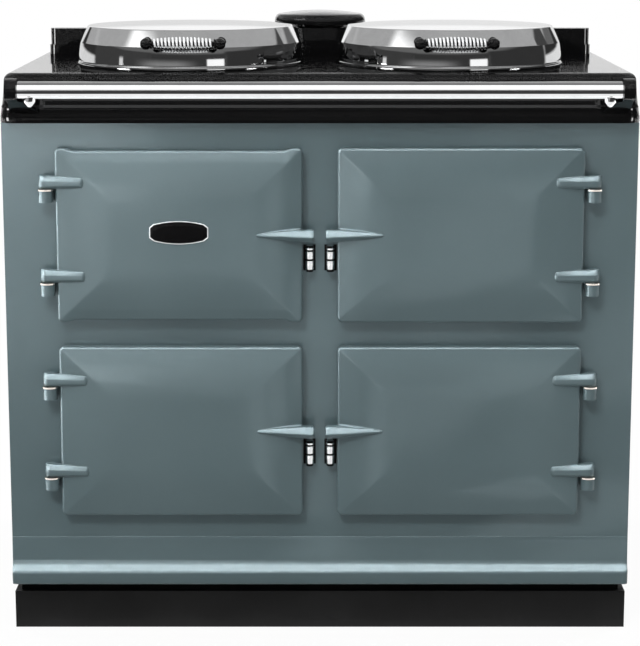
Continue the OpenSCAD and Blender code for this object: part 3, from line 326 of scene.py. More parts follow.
MAT = {
    "body": enamel("body_enamel", (0.078, 0.112, 0.121), (0.090, 0.127, 0.136), rough=0.34, coat_rough=0.07,
                   peel=0.00003, wave=0.00008, under=0.2),
    "black": enamel("black_enamel", (0.003, 0.003, 0.0032), (0.0045, 0.0045, 0.0048), rough=0.2, coat_rough=0.03,
                    peel=0.00002, wave=0.00008, under=0.12),
    "plinth": rough_paint("plinth_black", (0.010,) * 3, (0.014,) * 3, rough=0.55, grain=0.00006,
                          scale=500.0, shine=0.2),
    # Near black, darker than the plinth's paint: dark paint with painted shade, for the recess under the moulding and
    # the gaps between a roller's rings.
    "recess": rough_paint("recess_black_painted_shade", (0.003,) * 3, (0.006,) * 3, rough=0.7, grain=0.00006,
                          shine=0.1),
    "chrome": metal("chrome", (0.86, 0.865, 0.87), rough=0.045, vary=0.35),
    "wire": metal("wire_chrome", (0.80, 0.81, 0.82), rough=0.10),
    "steel": metal("steel_brushed", (0.56, 0.57, 0.58), rough=0.32, vary=0.15, grain=0.000006,
                   stretch=(1.0, 1.0, 14.0), scale=60.0),
    "galvanised": metal("galvanised", (0.50, 0.51, 0.52), rough=0.42, vary=0.35, grain=0.00002, scale=25.0),
    "aluminium": metal("aluminium", (0.72, 0.73, 0.74), rough=0.34, vary=0.15, grain=0.000008,
                       stretch=(14.0, 1.0, 1.0), scale=60.0),
    "washer": metal("washer_bronze", (0.90, 0.83, 0.76), rough=0.22),
    "iron": rough_paint("cast_iron", (0.022, 0.021, 0.021), (0.036, 0.035, 0.034), rough=0.62, grain=0.0003,
                        scale=260.0, metallic=0.3),
    "oven": rough_paint("oven_iron", (0.030, 0.029, 0.028), (0.050, 0.047, 0.045), rough=0.6, grain=0.0003,
                        scale=260.0, metallic=0.1),
    "element": rough_paint("element", (0.05, 0.045, 0.042), (0.09, 0.08, 0.075), rough=0.45, grain=0.0001,
                           scale=400.0, metallic=0.8),
    "wool": fibre("mineral_wool", (0.35, 0.28, 0.13), (0.62, 0.52, 0.28), scale=120.0, grain=0.002),
    "rope": rope("rope_seal"),
    "knob": rough_paint("knob_black", (0.012, 0.012, 0.013), (0.018, 0.018, 0.019), rough=0.35, grain=0.00004,
                        scale=600.0),
}


# ---- Doors ----

def crown(t):
    return CROWN * (1 - (1 - t) ** 2)


def slot_cut(u, slotted):
    """Depth of the air slot in the upper and lower edges at u."""
    half, run_out, depth = 163.5, 10.0, 4.0
    return depth * ramp_01((half + run_out - abs(u)) / run_out) if slotted else 0.0


def door_height(u, v):
    """Height of the door's face above the plate at a point, for the straps' fillets."""
    t = min((DOOR_W / 2 - abs(u) - EDGE_R) / RUN, (DOOR_H / 2 - abs(v) - EDGE_R) / (RUN * 0.95))
    if t < 0:
        d = max(0.0, EDGE_R + t * RUN)
        return EDGE_W - EDGE_R + math.sqrt(max(0.0, EDGE_R ** 2 - (EDGE_R - d) ** 2))
    return EDGE_W + crown(min(1.0, t))


def ring_points(inset_u, inset_v, radius):
    """A rounded rectangle's points: the same count for every inset."""
    a, b = DOOR_W / 2 - inset_u, DOOR_H / 2 - inset_v
    r = max(0.02, min(radius, a, b))
    corners = [arc(su * (a - r), sv * (b - r), r, start, start + 90, 6)
               for su, sv, start in ((1, 1, 0), (-1, 1, 90), (-1, -1, 180), (1, -1, 270))]
    pts = []
    for k, corner in enumerate(corners):
        (u0, v0), (u1, v1) = corner[-1], corners[(k + 1) % 4][0]
        n = 40 if k % 2 else 56
        pts += corner + [(u0 + (u1 - u0) * (i / n), v0 + (v1 - v0) * (i / n)) for i in range(1, n)]
    return pts


def door_blank(slotted):
    """Rings from the liner's recess round the edge and over the face, then a flat middle."""
    rings = []

    def ring(iu, iv, r, w, follow=1.0):
        edge, pts = DOOR_H / 2 - iv, []
        for u, v in ring_points(iu, iv, r):
            c = slot_cut(u, slotted) * follow
            if c > 0 and abs(v) > edge - min(c, r) - 0.001:
                v = math.copysign(edge - c, v)
            pts.append((u, v, w))
        rings.append(pts)

    depth, steps = EDGE_W - FACE_T, 34
    ring(DOOR_W / 2 - 1, DOOR_H / 2 - 1, 0.5, depth, 0)
    ring(WALL, WALL, 2.0, depth, 0)
    ring(WALL, WALL, 2.0, STANDOFF, 0)
    ring(1.2, 1.2, CORNER_R - 1.2, STANDOFF)
    ring(0.35, 0.35, CORNER_R - 0.35, STANDOFF + 0.35)
    ring(0, 0, CORNER_R, STANDOFF + 1.2)
    ring(0, 0, CORNER_R, EDGE_W - EDGE_R - 4)
    for i in range(9):
        a = math.radians(90 * i / 8)
        s = EDGE_R * (1 - math.cos(a))
        ring(s, s, CORNER_R - s, EDGE_W - EDGE_R + EDGE_R * math.sin(a))
    for i in range(1, steps + 1):
        t = (i / steps) ** 1.25
        r = (CORNER_R - EDGE_R) * (1 - t) + 0.4 + 12 * t ** 3
        ring(EDGE_R + t * RUN, EDGE_R + t * RUN * 0.95, r, EDGE_W + crown(t), max(0.0, 1 - t * 5))
    verts, faces = loft(rings, caps=False)
    n, middle = len(rings[0]), len(verts)
    verts += [(0.0, 0.0, EDGE_W + CROWN)] + [(u * 0.5, v * 0.5, w) for u, v, w in rings[-1]]
    for j in range(n):
        k = (j + 1) % n
        a, b = middle + 1 + j, middle + 1 + k
        faces += [[middle - n + j, middle - n + k, b, a], [a, b, middle]]
    faces.append(list(range(n))[::-1])
    return verts, faces


PIN_U, PIN_W, STRAP_R, STRAP_H, STRAP_REACH = 205.0, 21.0, 10.5, 21.0, 57.0
STRAP_TIP_U, STRAP_TIP_HALF, STRAP_TOP_W = PIN_U - STRAP_REACH - 3, 7.6, 5.6
STRAP_ZS = (-73.0, 73.0)
TIP_FROM = 0.93  # share of a strap's or handle's length where its tip starts to round off
FILLET_R, SUNK = 2.6, 0.05


def strap_form(u, v_mid):
    """Half height, back, front and face of the strap at u."""
    f = max(0.0, (PIN_U - u) / (PIN_U - STRAP_TIP_U))
    half = STRAP_H / 2 * (1 - f) + STRAP_TIP_HALF * f
    if f > TIP_FROM:
        half *= math.sqrt(max(0.02, 1 - 0.8 * ((f - TIP_FROM) / (1 - TIP_FROM)) ** 2))
    bow = math.sqrt(max(0.0, STRAP_R ** 2 - max(0.0, u - PIN_U) ** 2))
    face = door_height(u, v_mid) if u < DOOR_W / 2 else 0.0
    if u >= PIN_U:
        return half, PIN_W - bow, PIN_W + bow, face
    front = (PIN_W + STRAP_R) * (1 - f) + (door_height(STRAP_TIP_U, v_mid) + 2.6) * f
    if f > 0.9:
        front -= ((f - 0.9) / 0.1) ** 2 * 3.2
    back = PIN_W - STRAP_R + (STRAP_R - 2) * min(1.0, f * 3.4)
    if face:
        back = min(back, face - 4)
    return half, back, front, face


def strap(z0):
    """One hinge strap: an eye round the pin, chamfered above and below, that runs on to the door's face."""
    v_mid, n_tail = z0 + STRAP_H / 2, 26
    us = [PIN_U + STRAP_R * math.sin(math.radians(a)) for a in (89, 82, 74, 64, 52, 40, 28, 14, 0)]
    us += [PIN_U + (STRAP_TIP_U - PIN_U) * (i / n_tail) for i in range(1, n_tail + 1)]
    sections = []
    for u in us:
        half, back, front, face = strap_form(u, v_mid)
        shown = max(0.3, front - max(back, face))
        top_v, top_w = min(8.2, half * 0.78), min(STRAP_TOP_W, shown * 0.8)
        low_v, low_w = min(4.2, half * 0.42), min(4.6, shown * 0.55)
        v0, v1 = v_mid - half, v_mid + half
        pts = rounded([(v0, back), (v1, back), (v1, front - top_w), (v1 - top_v, front), (v0 + low_v, front),
                       (v0, front - low_w)], [0.8, 0.8, 1.6, 1.1, 1.4, 1.2])
        sections.append([(u, v, w) for v, w in pts])
    return loft(sections)


def fillet(us, side_v, direction, top_of, radius_of):
    """A concave strip between the door's face and a raised shape's side."""
    rows = []
    for u in us:
        v = side_v(u)
        base = door_height(u, v)
        r = max(0.02, min(radius_of(u), (top_of(u) - base) * 0.75))
        strip = []
        for i in range(7):
            a = math.radians(180 + 90 * i / 6)
            dv, dw = r + r * math.cos(a), r + r * math.sin(a)
            vv = v + direction * dv
            extra = door_height(u, vv) - base
            strip.append((u, vv, base + dw + extra * (dv / r) - 0.03))
        rows.append(strip)
    return loft(rows, closed=False, caps=False)


def strap_fillets(z0):
    v_mid = z0 + STRAP_H / 2
    us = [DOOR_W / 2 - 0.6 - (DOOR_W / 2 - STRAP_TIP_U - 3) * i / 22 for i in range(23)]

    def top(u):
        _, _, front, face = strap_form(u, v_mid)
        return front - min(STRAP_TOP_W, max(0.3, front - face) * 0.8)

    def radius(u):
        return FILLET_R * min(1.0, (DOOR_W / 2 - u + 1) / 6)

    return [fillet(us, lambda u: v_mid + strap_form(u, v_mid)[0] - SUNK, 1, top, radius),
            fillet(us, lambda u: v_mid - strap_form(u, v_mid)[0] + SUNK, -1, top, radius)]


HANDLE_OVER, HANDLE_IN, HANDLE_UP, HANDLE_W, HANDLE_BACK, NOSE = 18.5, 72.0, 2.0, 48.0, 26.0, 5.0
HANDLE_END_U, HANDLE_TIP_U = -DOOR_W / 2 - HANDLE_OVER, -DOOR_W / 2 + HANDLE_IN
HANDLE_TOP_SHARE = 0.72


def handle_form(u):
    """Low and high v, back, front and face of the handle at u."""
    start = HANDLE_END_U + NOSE
    f = max(0.0, (u - start) / (HANDLE_TIP_U - start))
    arch = math.sin(math.pi * f)
    face = door_height(u, HANDLE_UP) if u > -DOOR_W / 2 else 0.0
    front = HANDLE_W * (1 - f) + (door_height(HANDLE_TIP_U, HANDLE_UP) + 1.2) * f + 2.0 * arch * (1 - f)
    back = min(HANDLE_BACK, face - 3) if face else HANDLE_BACK
    low = 9.4 * (1 - f) + 2.0 * f + 0.6 * arch
    high = 10.0 * (1 - f) + 2.6 * f + 0.8 * arch
    if f > TIP_FROM:
        k = math.sqrt(max(0.03, 1 - ((f - TIP_FROM) / (1 - TIP_FROM)) ** 2))
        low, high, front = low * k, high * k, front - (1 - k) * 1.8
    return HANDLE_UP - low, HANDLE_UP + high, back, front, face


def handle():
    """The lever: a tapering wedge with a broad sloping top and a ridge along its front."""
    start = HANDLE_END_U + NOSE
    us = [HANDLE_END_U + NOSE * (1 - math.cos(math.radians(a))) for a in (4, 16, 30, 45, 60, 75, 90)]
    us += [start + (HANDLE_TIP_U - start) * i / 30 for i in range(1, 31)]
    sections = []
    for u in us:
        nose = math.sqrt(max(0.0, 1 - ((NOSE - min(NOSE, u - HANDLE_END_U)) / NOSE) ** 2))
        v0, v1, back, front, face = handle_form(u)
        mid_v, mid_w = (v0 + v1) / 2, (front + HANDLE_BACK) / 2
        k = 0.66 + 0.34 * nose
        if nose < 1:
            v0, v1 = mid_v + (v0 - mid_v) * k, mid_v + (v1 - mid_v) * k
            back, front = mid_w + (back - mid_w) * k, mid_w + (front - mid_w) * k
        shown = max(0.4, front - max(back, face))
        ridge = v0 + 0.40 * (v1 - v0)
        top_w, low_w = min(8.6, (v1 - ridge) * 0.74, shown * HANDLE_TOP_SHARE), min(6.5, shown * 0.5)
        pts = rounded([(v0, back), (v1, back), (v1, front - top_w), (ridge, front), (v0, front - low_w)],
                      [0.8, 0.8, 2.2, 2.4, 2.2], 5)
        sections.append([(u, v, w) for v, w in pts])
    return loft(sections)


def handle_fillets():
    us = [-DOOR_W / 2 + 0.6 + (HANDLE_IN - 3) * i / 26 for i in range(27)]

    def top(u):
        _, _, _, front, face = handle_form(u)
        return front - HANDLE_TOP_SHARE * max(0.4, front - face)

    def radius(u):
        return FILLET_R * min(1.0, (u + DOOR_W / 2 + 1) / 6)

    return [fillet(us, lambda u: handle_form(u)[1] - SUNK, 1, top, radius),
            fillet(us, lambda u: handle_form(u)[0] + SUNK, -1, top, radius)]


def put_door(part, side, z):
    """From door coordinates (u, v, out) to the row, mirrored for a left door."""
    vs, fs = part
    return ([(side * (DOOR_CX + u), -w, z + v) for u, v, w in vs], fs)


def make_door(name, side, level):
    z = DOOR_Z[level]
    parts = [door_blank(name == "control"), handle()] + handle_fillets()
    for z0 in STRAP_ZS:
        parts.append(strap(z0))
        parts += strap_fillets(z0)
    build(f"{name}_door_casting", [put_door(p, side, z) for p in parts], f"{name}_door", MAT["body"],
          [f"{name}_door"], sharp=50)


for door in DOORS:
    make_door(*door)


def badge_outline(inset, steps=14):
    """The badge's barrel shape in (u, v): arched above and below, with short upright ends."""
    half_u, end_v, rise = 45.6 - inset, 11.6 - inset * 0.8, 6.6
    pts = []
    for sign in (1, -1):
        for i in range(steps + 1):
            u = half_u * (1 - 2 * i / steps) * sign
            edge = max(0.0, (abs(u) - (half_u - 3.4)) / 3.4)
            drop = 3.2 * (1 - math.sqrt(max(0.0, 1 - edge ** 2)))
            v = end_v + rise * (1 - (u / half_u) ** 2) - drop
            pts.append((u, sign * v))
    return pts


def make_badge():
    """A plain badge: a bright rim round a bare black field."""
    face, z = EDGE_W + CROWN, DOOR_Z["upper"] + 7.0

    def rings(*steps):
        return [[(-DOOR_CX + u, -(face + w), z + v) for u, v in badge_outline(inset)] for inset, w in steps]

    rim = rings((0, 0), (0, 1.9), (0.2, 2.4), (0.6, 2.8), (1.1, 2.9), (1.6, 2.7), (1.9, 2.2), (2.0, 1.2))
    build("badge_rim", [loft(rim, caps=False)], "control_door", MAT["chrome"], ["badge_plate"], sharp=50)
    field = rings((1.9, 1.6), (2.4, 1.75), (8.0, 1.95))
    verts, faces = loft(field, caps=False)
    n = len(field[0])
    verts.append((-DOOR_CX, -(face + 2.0), z))
    faces += [[2 * n + j, 2 * n + (j + 1) % n, 3 * n] for j in range(n)]
    build("badge_field", [(verts, faces)], "control_door", MAT["black"], sharp=0)


def make_roller(name, side, level):
    """A catch roller: three bright turned rings on a near-black sleeve, whose colour is painted shade in the gaps
    between them.
    """
    x, y, z = side * (DOOR_CX - DOOR_W / 2 - 11.0), -14.0, DOOR_Z[level] - 36.5
    r, c, bore = 6.45, 0.7, 4.2

    def turned(profile, n):
        return revolve([(a, z + h) for a, h in profile], (x, y, 0), "z", n)

    rings = [turned([(bore, low), (r - c, low), (r - 0.2, low + 0.25), (r, low + c), (r, high - c),
                     (r - 0.2, high - 0.25), (r - c, high), (bore, high), (bore, low)], 48)
             for low, high in ((-16.9, -3.1), (-0.5, 11.4), (13.8, 16.9))]
    build(f"{name}_roller_rings", rings, f"{name}_roller", MAT["chrome"], [f"{name}_roller"], sharp=45)
    sleeve = turned([(2.6, -16.4), (4.6, -16.4), (4.6, 16.4), (2.6, 16.4), (2.6, -16.4)], 40)
    build(f"{name}_roller_sleeve", [sleeve], f"{name}_roller", MAT["recess"], sharp=45)


make_badge()
for door in DOORS:
    make_roller(*door)


# ---- Top plate ----

FLAT_X, FLAT_Y, ROLL, LIP, SKIRT, LIP_H = 474.0, 5.5, 13.0, 6.5, 76.0, 8.0
HOTPLATE_X, HOTPLATE_Y, HOLE_R = 211.0, 220.0, 181.8
UPSTAND_Y, UPSTAND_T = 430.1, 30.0
VENT_Y = UPSTAND_Y + UPSTAND_T + 2 + 50
PLATE_T, FLAT_IN, VENT_HOLE_R = 8.0, 2.5, 32.3


def plan_path(corner=9.0, steps=8):
    """Points of the flat top's outline with outward directions, from rear left round the front to rear right."""
    cx, cy = FLAT_X - corner, FLAT_Y + corner

    def turn(side, start):
        angles = [math.radians(start + 90 * i / steps) for i in range(steps + 1)]
        return [(side * cx + corner * math.cos(a), cy + corner * math.sin(a), math.cos(a), math.sin(a))
                for a in angles]

    path = [(-FLAT_X, BODY_D - (BODY_D - cy) * i / 12, -1, 0) for i in range(12)] + turn(LEFT, 180)
    path += [(-cx + 2 * cx * i / 20, FLAT_Y, 0, -1) for i in range(1, 20)] + turn(RIGHT, 270)
    return path + [(FLAT_X, cy + (BODY_D - cy) * i / 12, 1, 0) for i in range(1, 13)]


def top_section():
    """From the flat over the rolled edge, down the flaring fascia with its bead, and round the lip."""
    pts = [(-FLAT_IN, 0.0), (-1.0, 0.0)]
    pts += arc(0, -ROLL, ROLL, 90, 6, 12)
    low, out = SKIRT - LIP_H, ROLL + LIP
    for i in range(1, 25):
        f = i / 24
        h = ROLL + (low - ROLL) * f
        bead = 0.9 * ramp_01((h - 49.5) / 2.2) - 0.5 * ramp_01((h - 52.2) / 3.0)
        pts.append((ROLL + (LIP - 0.4) * f ** 1.5 + bead, -h))
    return pts + [(out, -SKIRT + 1.6), (out - 0.4, -SKIRT + 0.5), (out - 1.5, -SKIRT), (ROLL - PLATE_T, -SKIRT)]


def circle(cx, cy, r, n):
    angles = [2 * math.pi * i / n for i in range(n)]
    return [Vector((cx + r * math.cos(a), cy + r * math.sin(a), 0)) for a in angles]


def make_top():
    """The flat with its three holes, the rolled skirt, and the wall inside it."""
    path, section = plan_path(), top_section()

    def offset(out, z):
        return [(x + nx * out, y + ny * out, z) for x, y, nx, ny in path]

    sections = [[(x + nx * o, y + ny * o, HOB_Z + dz) for o, dz in section] for x, y, nx, ny in path]
    skirt = loft(sections, closed=False, caps=False)
    loops = [[Vector(p) for p in offset(-FLAT_IN, 0)]]
    loops += [circle(s * HOTPLATE_X, HOTPLATE_Y, HOLE_R, 96) for s in (LEFT, RIGHT)]
    loops.append(circle(0, VENT_Y, VENT_HOLE_R, 48))
    top = ([(v.x, v.y, HOB_Z) for loop in loops for v in loop],
           [list(f) for f in geometry.tessellate_polygon(loops)])
    walls = [loft([[(v.x, v.y, z) for v in loop] for z in (HOB_Z, HOB_Z - PLATE_T)], caps=False)
             for loop in loops[1:]]
    rear = (sections[0] + sections[-1][::-1], [list(range(2 * len(section)))])
    inner = loft([offset(ROLL - PLATE_T, HOB_Z - PLATE_T), offset(ROLL - PLATE_T, HOB_Z - SKIRT)],
                 closed=False, caps=False)
    build("top_plate_enamel", [skirt, top, rear, inner] + walls, "casing", MAT["black"],
          ["top_plate"], sharp=45)


make_top()


# ---- Base moulding ----

def make_moulding():
    """An upright face with a slight flare, a rounded ledge and a lip that turns under."""
    out, top, back, half, end_r = 15.0, FRONT_BOTTOM, 8.0, BODY_W / 2, 6.0
    line = [(back, top), (0.0, top), (-0.6, top - 12), (-2.6, 112.0), (-4.6, 106.5), (-13.6, 98.6), (-out, 95.5),
            (-14.6, 86.0), (-13.2, 77.5), (-9.5, DECK_TOP), (back, DECK_TOP)]
    profile = rounded(line, [0.01, 0.8, 6, 8, 5.5, 4.2, 3.2, 5, 3.2, 1.6, 0.01], 5)
    sections = []
    for side in (LEFT, RIGHT):
        for k in range(9):
            a = math.radians(90 * (k if side < 0 else 8 - k) / 8)
            turn, inward = end_r * (1 - math.sin(a)), end_r * (1 - math.cos(a))
            sections.append([(side * (half - inward), y if y > 0 else y * (1 - turn / out * 0.8), z)
                             for y, z in profile])
    build("base_moulding_casting", [loft(sections)], "casing", MAT["body"], ["base_moulding"],
          sharp=45)


make_moulding()


# ---- Lids ----

LID_R, CREASE_H, CREASE_IN, LID_EDGE_H, LID_EDGE_IN = 184.1, 36.0, 5.0, 62.0, 18.0
LID_DOME, LID_T, LID_SWELL, BEAD_H = 4.0, 2.0, 2.8, 5.0


def lid_profile():
    """Outer skin from the rim to the middle, then the inner skin back."""
    outer = [(LID_R - 2.2, 0.3), (LID_R - 0.6, 0.5), (LID_R, 1.4), (LID_R, 3.6), (LID_R - 0.5, 4.9),
             (LID_R - 1.5, BEAD_H + 0.6)]
    foot_r, foot_z = LID_R - 1.9, BEAD_H + 1.8
    crease_r, top_r, top_z = LID_R - CREASE_IN, LID_R - LID_EDGE_IN, LID_EDGE_H + LID_DOME
    dome = [(top_r * (1 - i / 14), LID_EDGE_H + LID_DOME * (1 - (1 - i / 14) ** 2)) for i in range(15)]
    swell = [(foot_r + (crease_r - foot_r) * f + LID_SWELL * f * (1 - f), foot_z + (CREASE_H - foot_z) * f)
             for f in [i / 22 for i in range(1, 19)]]
    line = [(foot_r, foot_z), *swell, (crease_r, CREASE_H), (top_r, LID_EDGE_H), dome[1]]
    outer += round_profile(line, [0] * (1 + len(swell)) + [4, 2.2, 0], 7)[:-1] + dome[1:-1] + [(0.0, top_z)]
    inner = [(max(0.0, r - LID_T), z - LID_T) for r, z in reversed(outer) if z > BEAD_H + 1 and r > LID_T]
    return outer + [(0.0, top_z - LID_T)] + inner + [(LID_R - LID_T - 1.5, 0.4)]


COIL_L, COIL_TURNS, COIL_UP, COIL_FRONT, WIRE_R, BALL_R = 95.0, 16, 43.0, 15.0, 1.8, 9.0
COIL_END_R, COIL_BULGE = 8.0, 3.0


def coil(cx, cy, cz):
    """A barrel-shaped helix of wire, with its ends closed on the rod."""
    per_turn = 26
    total = COIL_TURNS * per_turn
    pts = []
    for i in range(total + 1):
        x = (i / total - 0.5) * (COIL_L - 2 * WIRE_R)
        r = COIL_END_R + COIL_BULGE * (1 - (2 * x / COIL_L) ** 2) - WIRE_R
        a = 2 * math.pi * i / per_turn
        pts.append((cx + x, cy + r * math.cos(a), cz + r * math.sin(a)))
    return tube(pts, WIRE_R, 9)


def post_parts(cx, cy, cz):
    """The rod through the coil, and at each end a turned knob on a stem that stands on the lid."""
    rod_end, rod_r = COIL_L / 2 + 4, 4.0
    out = [revolve([(0, -rod_end), (rod_r, -rod_end), (rod_r, rod_end), (0, rod_end)], (cx, cy, cz), "x", 24)]
    at = COIL_L / 2 + 0.3 + BALL_R
    end = HOTPLATE_Y - math.sqrt((LID_R - 8.5) ** 2 - at ** 2) + 6 - cy
    knob = [(0, -9.0), (7.0, -9.0), (7.6, -8.6), (7.6, -6.9), (6.2, -6.3), (6.2, -5.4)]
    knob += arc(0, 0, BALL_R, -38, 42, 10) + [(5.6, 7.2), (4.2, 8.4), (0, 9.0)]
    stem = [(0, 0), (5.2, 0), (5.0, 4), (4.6, 7), (5.2, end - 8), (7.4, end - 5), (8.6, end - 2), (8.6, end), (0, end)]
    for s in (LEFT, RIGHT):
        out.append(revolve([(r, s * h) for r, h in knob], (cx + s * at, cy, cz), "x", 32))
        out.append(revolve(stem, (cx + s * at, cy, cz), "y", 28))
    return out


def arm_part(cx):
    """The hinge arm: an eye round the pin and a web that widens on to the lid's side."""
    half, eye_y, eye_z, eye_r = 28.0, HOTPLATE_Y + LID_R + 43.0, HOB_Z + 30.0, 14.0
    root_y = HOTPLATE_Y + LID_R - LID_EDGE_IN + 4
    low, high = HOB_Z + 16.5, HOB_Z + 46.0
    outline = arc(eye_y, eye_z, eye_r, 84, -96, 24)
    outline += [(root_y + 14, low), (root_y, low + 1), (root_y - 3, (low + high) / 2), (root_y, high),
                (root_y + 14, high - 0.6)]
    mid_y, mid_z = (eye_y + root_y) / 2, eye_z + 2
    rows = []
    for x, grow in ((-half, -1.6), (-half + 0.5, -0.5), (-half + 1.6, 0), (half - 1.6, 0), (half - 0.5, -0.5),
                    (half, -1.6)):
        rows.append([])
        for y, z in outline:
            d = Vector((y - mid_y, z - mid_z))
            k = 1 + grow / max(1.0, d.length)
            rows[-1].append((cx + x, mid_y + d.x * k, mid_z + d.y * k))
    ends = [revolve([(0, s * (half + 0.1)), (5.5, s * (half + 0.1)), (6.5, s * (half - 0.2)), (6.5, s * (half - 4))],
                    (cx, eye_y, eye_z), "x", 32) for s in (LEFT, RIGHT)]
    return [loft(rows)] + ends


for lid_name, lid_side in LIDS:
    lx, lid = lid_side * HOTPLATE_X, f"{lid_name}_lid"
    coil_y, coil_z = HOTPLATE_Y - LID_R - COIL_FRONT, HOB_Z + COIL_UP
    skin = revolve([(r, HOB_Z + z) for r, z in lid_profile()], (lx, HOTPLATE_Y, 0), "z", 240)
    build(f"{lid}_skin", [skin], lid, MAT["chrome"], [lid], sharp=24)
    build(f"{lid}_spring", [coil(lx, coil_y, coil_z)], lid, MAT["wire"], [f"{lid}_coil"])
    build(f"{lid}_stays", post_parts(lx, coil_y, coil_z), lid, MAT["black"], [f"{lid}_posts"])
    build(f"{lid}_hinge", arm_part(lx), lid, MAT["black"], [f"{lid}_arm"], sharp=35)


# ---- Vent cap ----

def make_vent():
    """The domed cap, its slotted neck and the fillet at the neck's foot."""
    n_r, n_in, cap_r, up = 50.0, 44.0, 80.0, 50.0
    rim_in, rim_h, dome, thick = 9.0, 17.0, 6.0, 13.0
    top_r, under = cap_r - rim_in, up + rim_h - thick
    slots, slot_half = 6, math.degrees(math.asin(9.0 / n_r))
    pitch, slot_low, slot_high = 360 / slots, up - 20, up - 6

    def turned(points, n=96):
        return revolve([(r, HOB_Z + z) for r, z in points], (0, VENT_Y, 0), "z", n)

    cap = [(0, under + 3), (n_r - 2, under + 3), (n_r - 2, under), (cap_r - 6, under), (cap_r - 3.6, up + 0.6),
           (cap_r - 2.8, up), (cap_r - 0.8, up), (cap_r - 0.1, up + 0.8)]
    cap += [(top_r + rim_in * math.cos(math.radians(a)), up + 3 + (rim_h - 3) * math.sin(math.radians(a)))
            for a in range(0, 84, 6)]
    cap += [(top_r * (1 - i / 14), up + rim_h + dome * (1 - (1 - i / 14) ** 2)) for i in range(1, 15)]
    parts = [turned(cap, 128)]
    for z0, z1 in ((0, slot_low), (slot_high, under + 1)):
        parts.append(turned([(n_in, z0), (n_r, z0), (n_r, z1), (n_in, z1), (n_in, z0)]))
    for i in range(slots):
        start, span = 90 + i * pitch + slot_half, pitch - 2 * slot_half
        rows = []
        for k in range(11):
            a = math.radians(start + span * k / 10)
            rows.append([(r * math.cos(a), VENT_Y + r * math.sin(a), HOB_Z + z)
                         for r, z in ((n_in, slot_low), (n_r, slot_low), (n_r, slot_high), (n_in, slot_high))])
        parts.append(loft(rows))
    parts.append(turned([(n_r - 1, 0), (n_r + 2.5, 0), (n_r + 1.6, 1.6), (n_r + 0.4, 2.8), (n_r - 0.5, 4.5)]))
    build("vent_cap_enamel", parts, "casing", MAT["black"], ["vent_cap"], sharp=35)


make_vent()


# ---- Handrail ----

RAIL_Y, RAIL_Z = -65.0, HOB_Z - 20.5


def make_rail():
    """The rail with its rounded ends, and a turned stud under each end."""
    half, r, end_r = 459.0, 13.0, 4
    profile = [(0, -half)] + arc(r - end_r, end_r - half, end_r, -90, 0, 9) + [(r, -half + 30), (r, 0)]
    profile += [(a, -b) for a, b in reversed(profile[:-1])]
    stud = [(0, -26.0), (1.6, -25.8), (3.4, -24.6), (7.4, -19.6), (8.3, -18.2), (8.5, -16.8), (8.5, -10.6),
            (9.6, -9.4), (9.6, -8.0)]
    parts = [revolve(profile, (0, RAIL_Y, RAIL_Z), "x")]
    parts += [revolve([(a, RAIL_Z + b) for a, b in stud], (s * (half - 22), RAIL_Y, 0), "z", 40)
              for s in (LEFT, RIGHT)]
    build("handrail_chrome", parts, "casing", MAT["chrome"], ["handrail"], sharp=30)


make_rail()


# ---- CAD nodes that keep their shape ----

def dress(node, material, bevel=0.0):
    """Gives a CAD node its material, and rounds its edges by a bevel in millimetres."""
    obj = NODES[node]
    obj.data.materials.clear()
    obj.data.materials.append(MAT[material])
    if bevel:
        m = obj.modifiers.new("edge", "BEVEL")
        m.width = bevel * 0.001
        m.segments = 3
        m.limit_method = "ANGLE"
        m.angle_limit = math.radians(35)


BEVELS = {
    "plinth": {"plinth": 0.8}, "recess": {"base_frame": 0}, "body": {"front_plate": 1.2, "side_panels": 1.0},
    "galvanised": {"levelling_feet": 0.5, "back_panel": 0, "vent_duct": 0, "inner_supports": 0, "terminal_box": 0.8},
    "steel": {"panel_screws": 0.5, "lid_hinge_pins": 0.8, "hinge_pins": 0.6},
    "black": {"rear_upstand": 4.0, "rail_brackets": 1.2, "control_panel": 1.0, "catch_brackets": 0.6},
    "wire": {"oven_shelves": 0}, "rope": {"door_seals": 0.6}, "element": {"heating_elements": 0},
    "wool": {"insulation": 0}, "chrome": {"hotplate_rings": 0.6}, "washer": {"hinge_washers": 0.4},
}
for material_name, bevels in BEVELS.items():
    for node_name, bevel_width in bevels.items():
        dress(node_name, material_name, bevel_width)
for n in ("roasting", "simmering", "baking"):
    dress(f"{n}_oven", "oven", 1.5)
    dress(f"{n}_door_liner", "aluminium", 1.0)
    dress(f"{n}_door_pad", "wool")
dress("control_door_liner", "aluminium", 0.4)
for n in ("boiling", "simmering"):
    dress(f"{n}_plate", "iron", 0.8)
    dress(f"{n}_lid_liner", "steel", 0.4)
for n in ("boiling", "oven", "simmering"):
    dress(f"{n}_knob", "knob", 1.2)


# ---- Stage, light and camera ----

def maths(t, operation, *values):
    return add_node(t, "Math", dict(enumerate(values)), operation=operation).outputs[0]


def ramp_up(t, value, start, end):
    """0 below start, 1 above end, smooth between."""
    inputs = {"Value": value, "From Min": start, "From Max": end}
    return add_node(t, "MapRange", inputs, interpolation_type="SMOOTHSTEP").outputs["Result"]


def window(t, value, low, high, soft):
    """1 between low and high, 0 outside, over soft edges."""
    rise = ramp_up(t, value, low - soft / 2, low + soft / 2)
    fall = ramp_up(t, value, high - soft / 2, high + soft / 2)
    return maths(t, "SUBTRACT", rise, fall)


def spot(t, axes, first, second, soft):
    """1 inside a range on both axes, 0 outside, over soft edges."""
    return maths(t, "MULTIPLY", window(t, axes[0], *first, soft[0]), window(t, axes[1], *second, soft[1]))


def paint(t, axes, level, patches):
    """Lays patches over a level: (first range, second range, softness, level)."""
    for first, second, soft, value in patches:
        inputs = {"Factor": spot(t, axes, first, second, soft), "A": level, "B": value}
        level = add_node(t, "Mix", inputs).outputs["Result"]
    return level


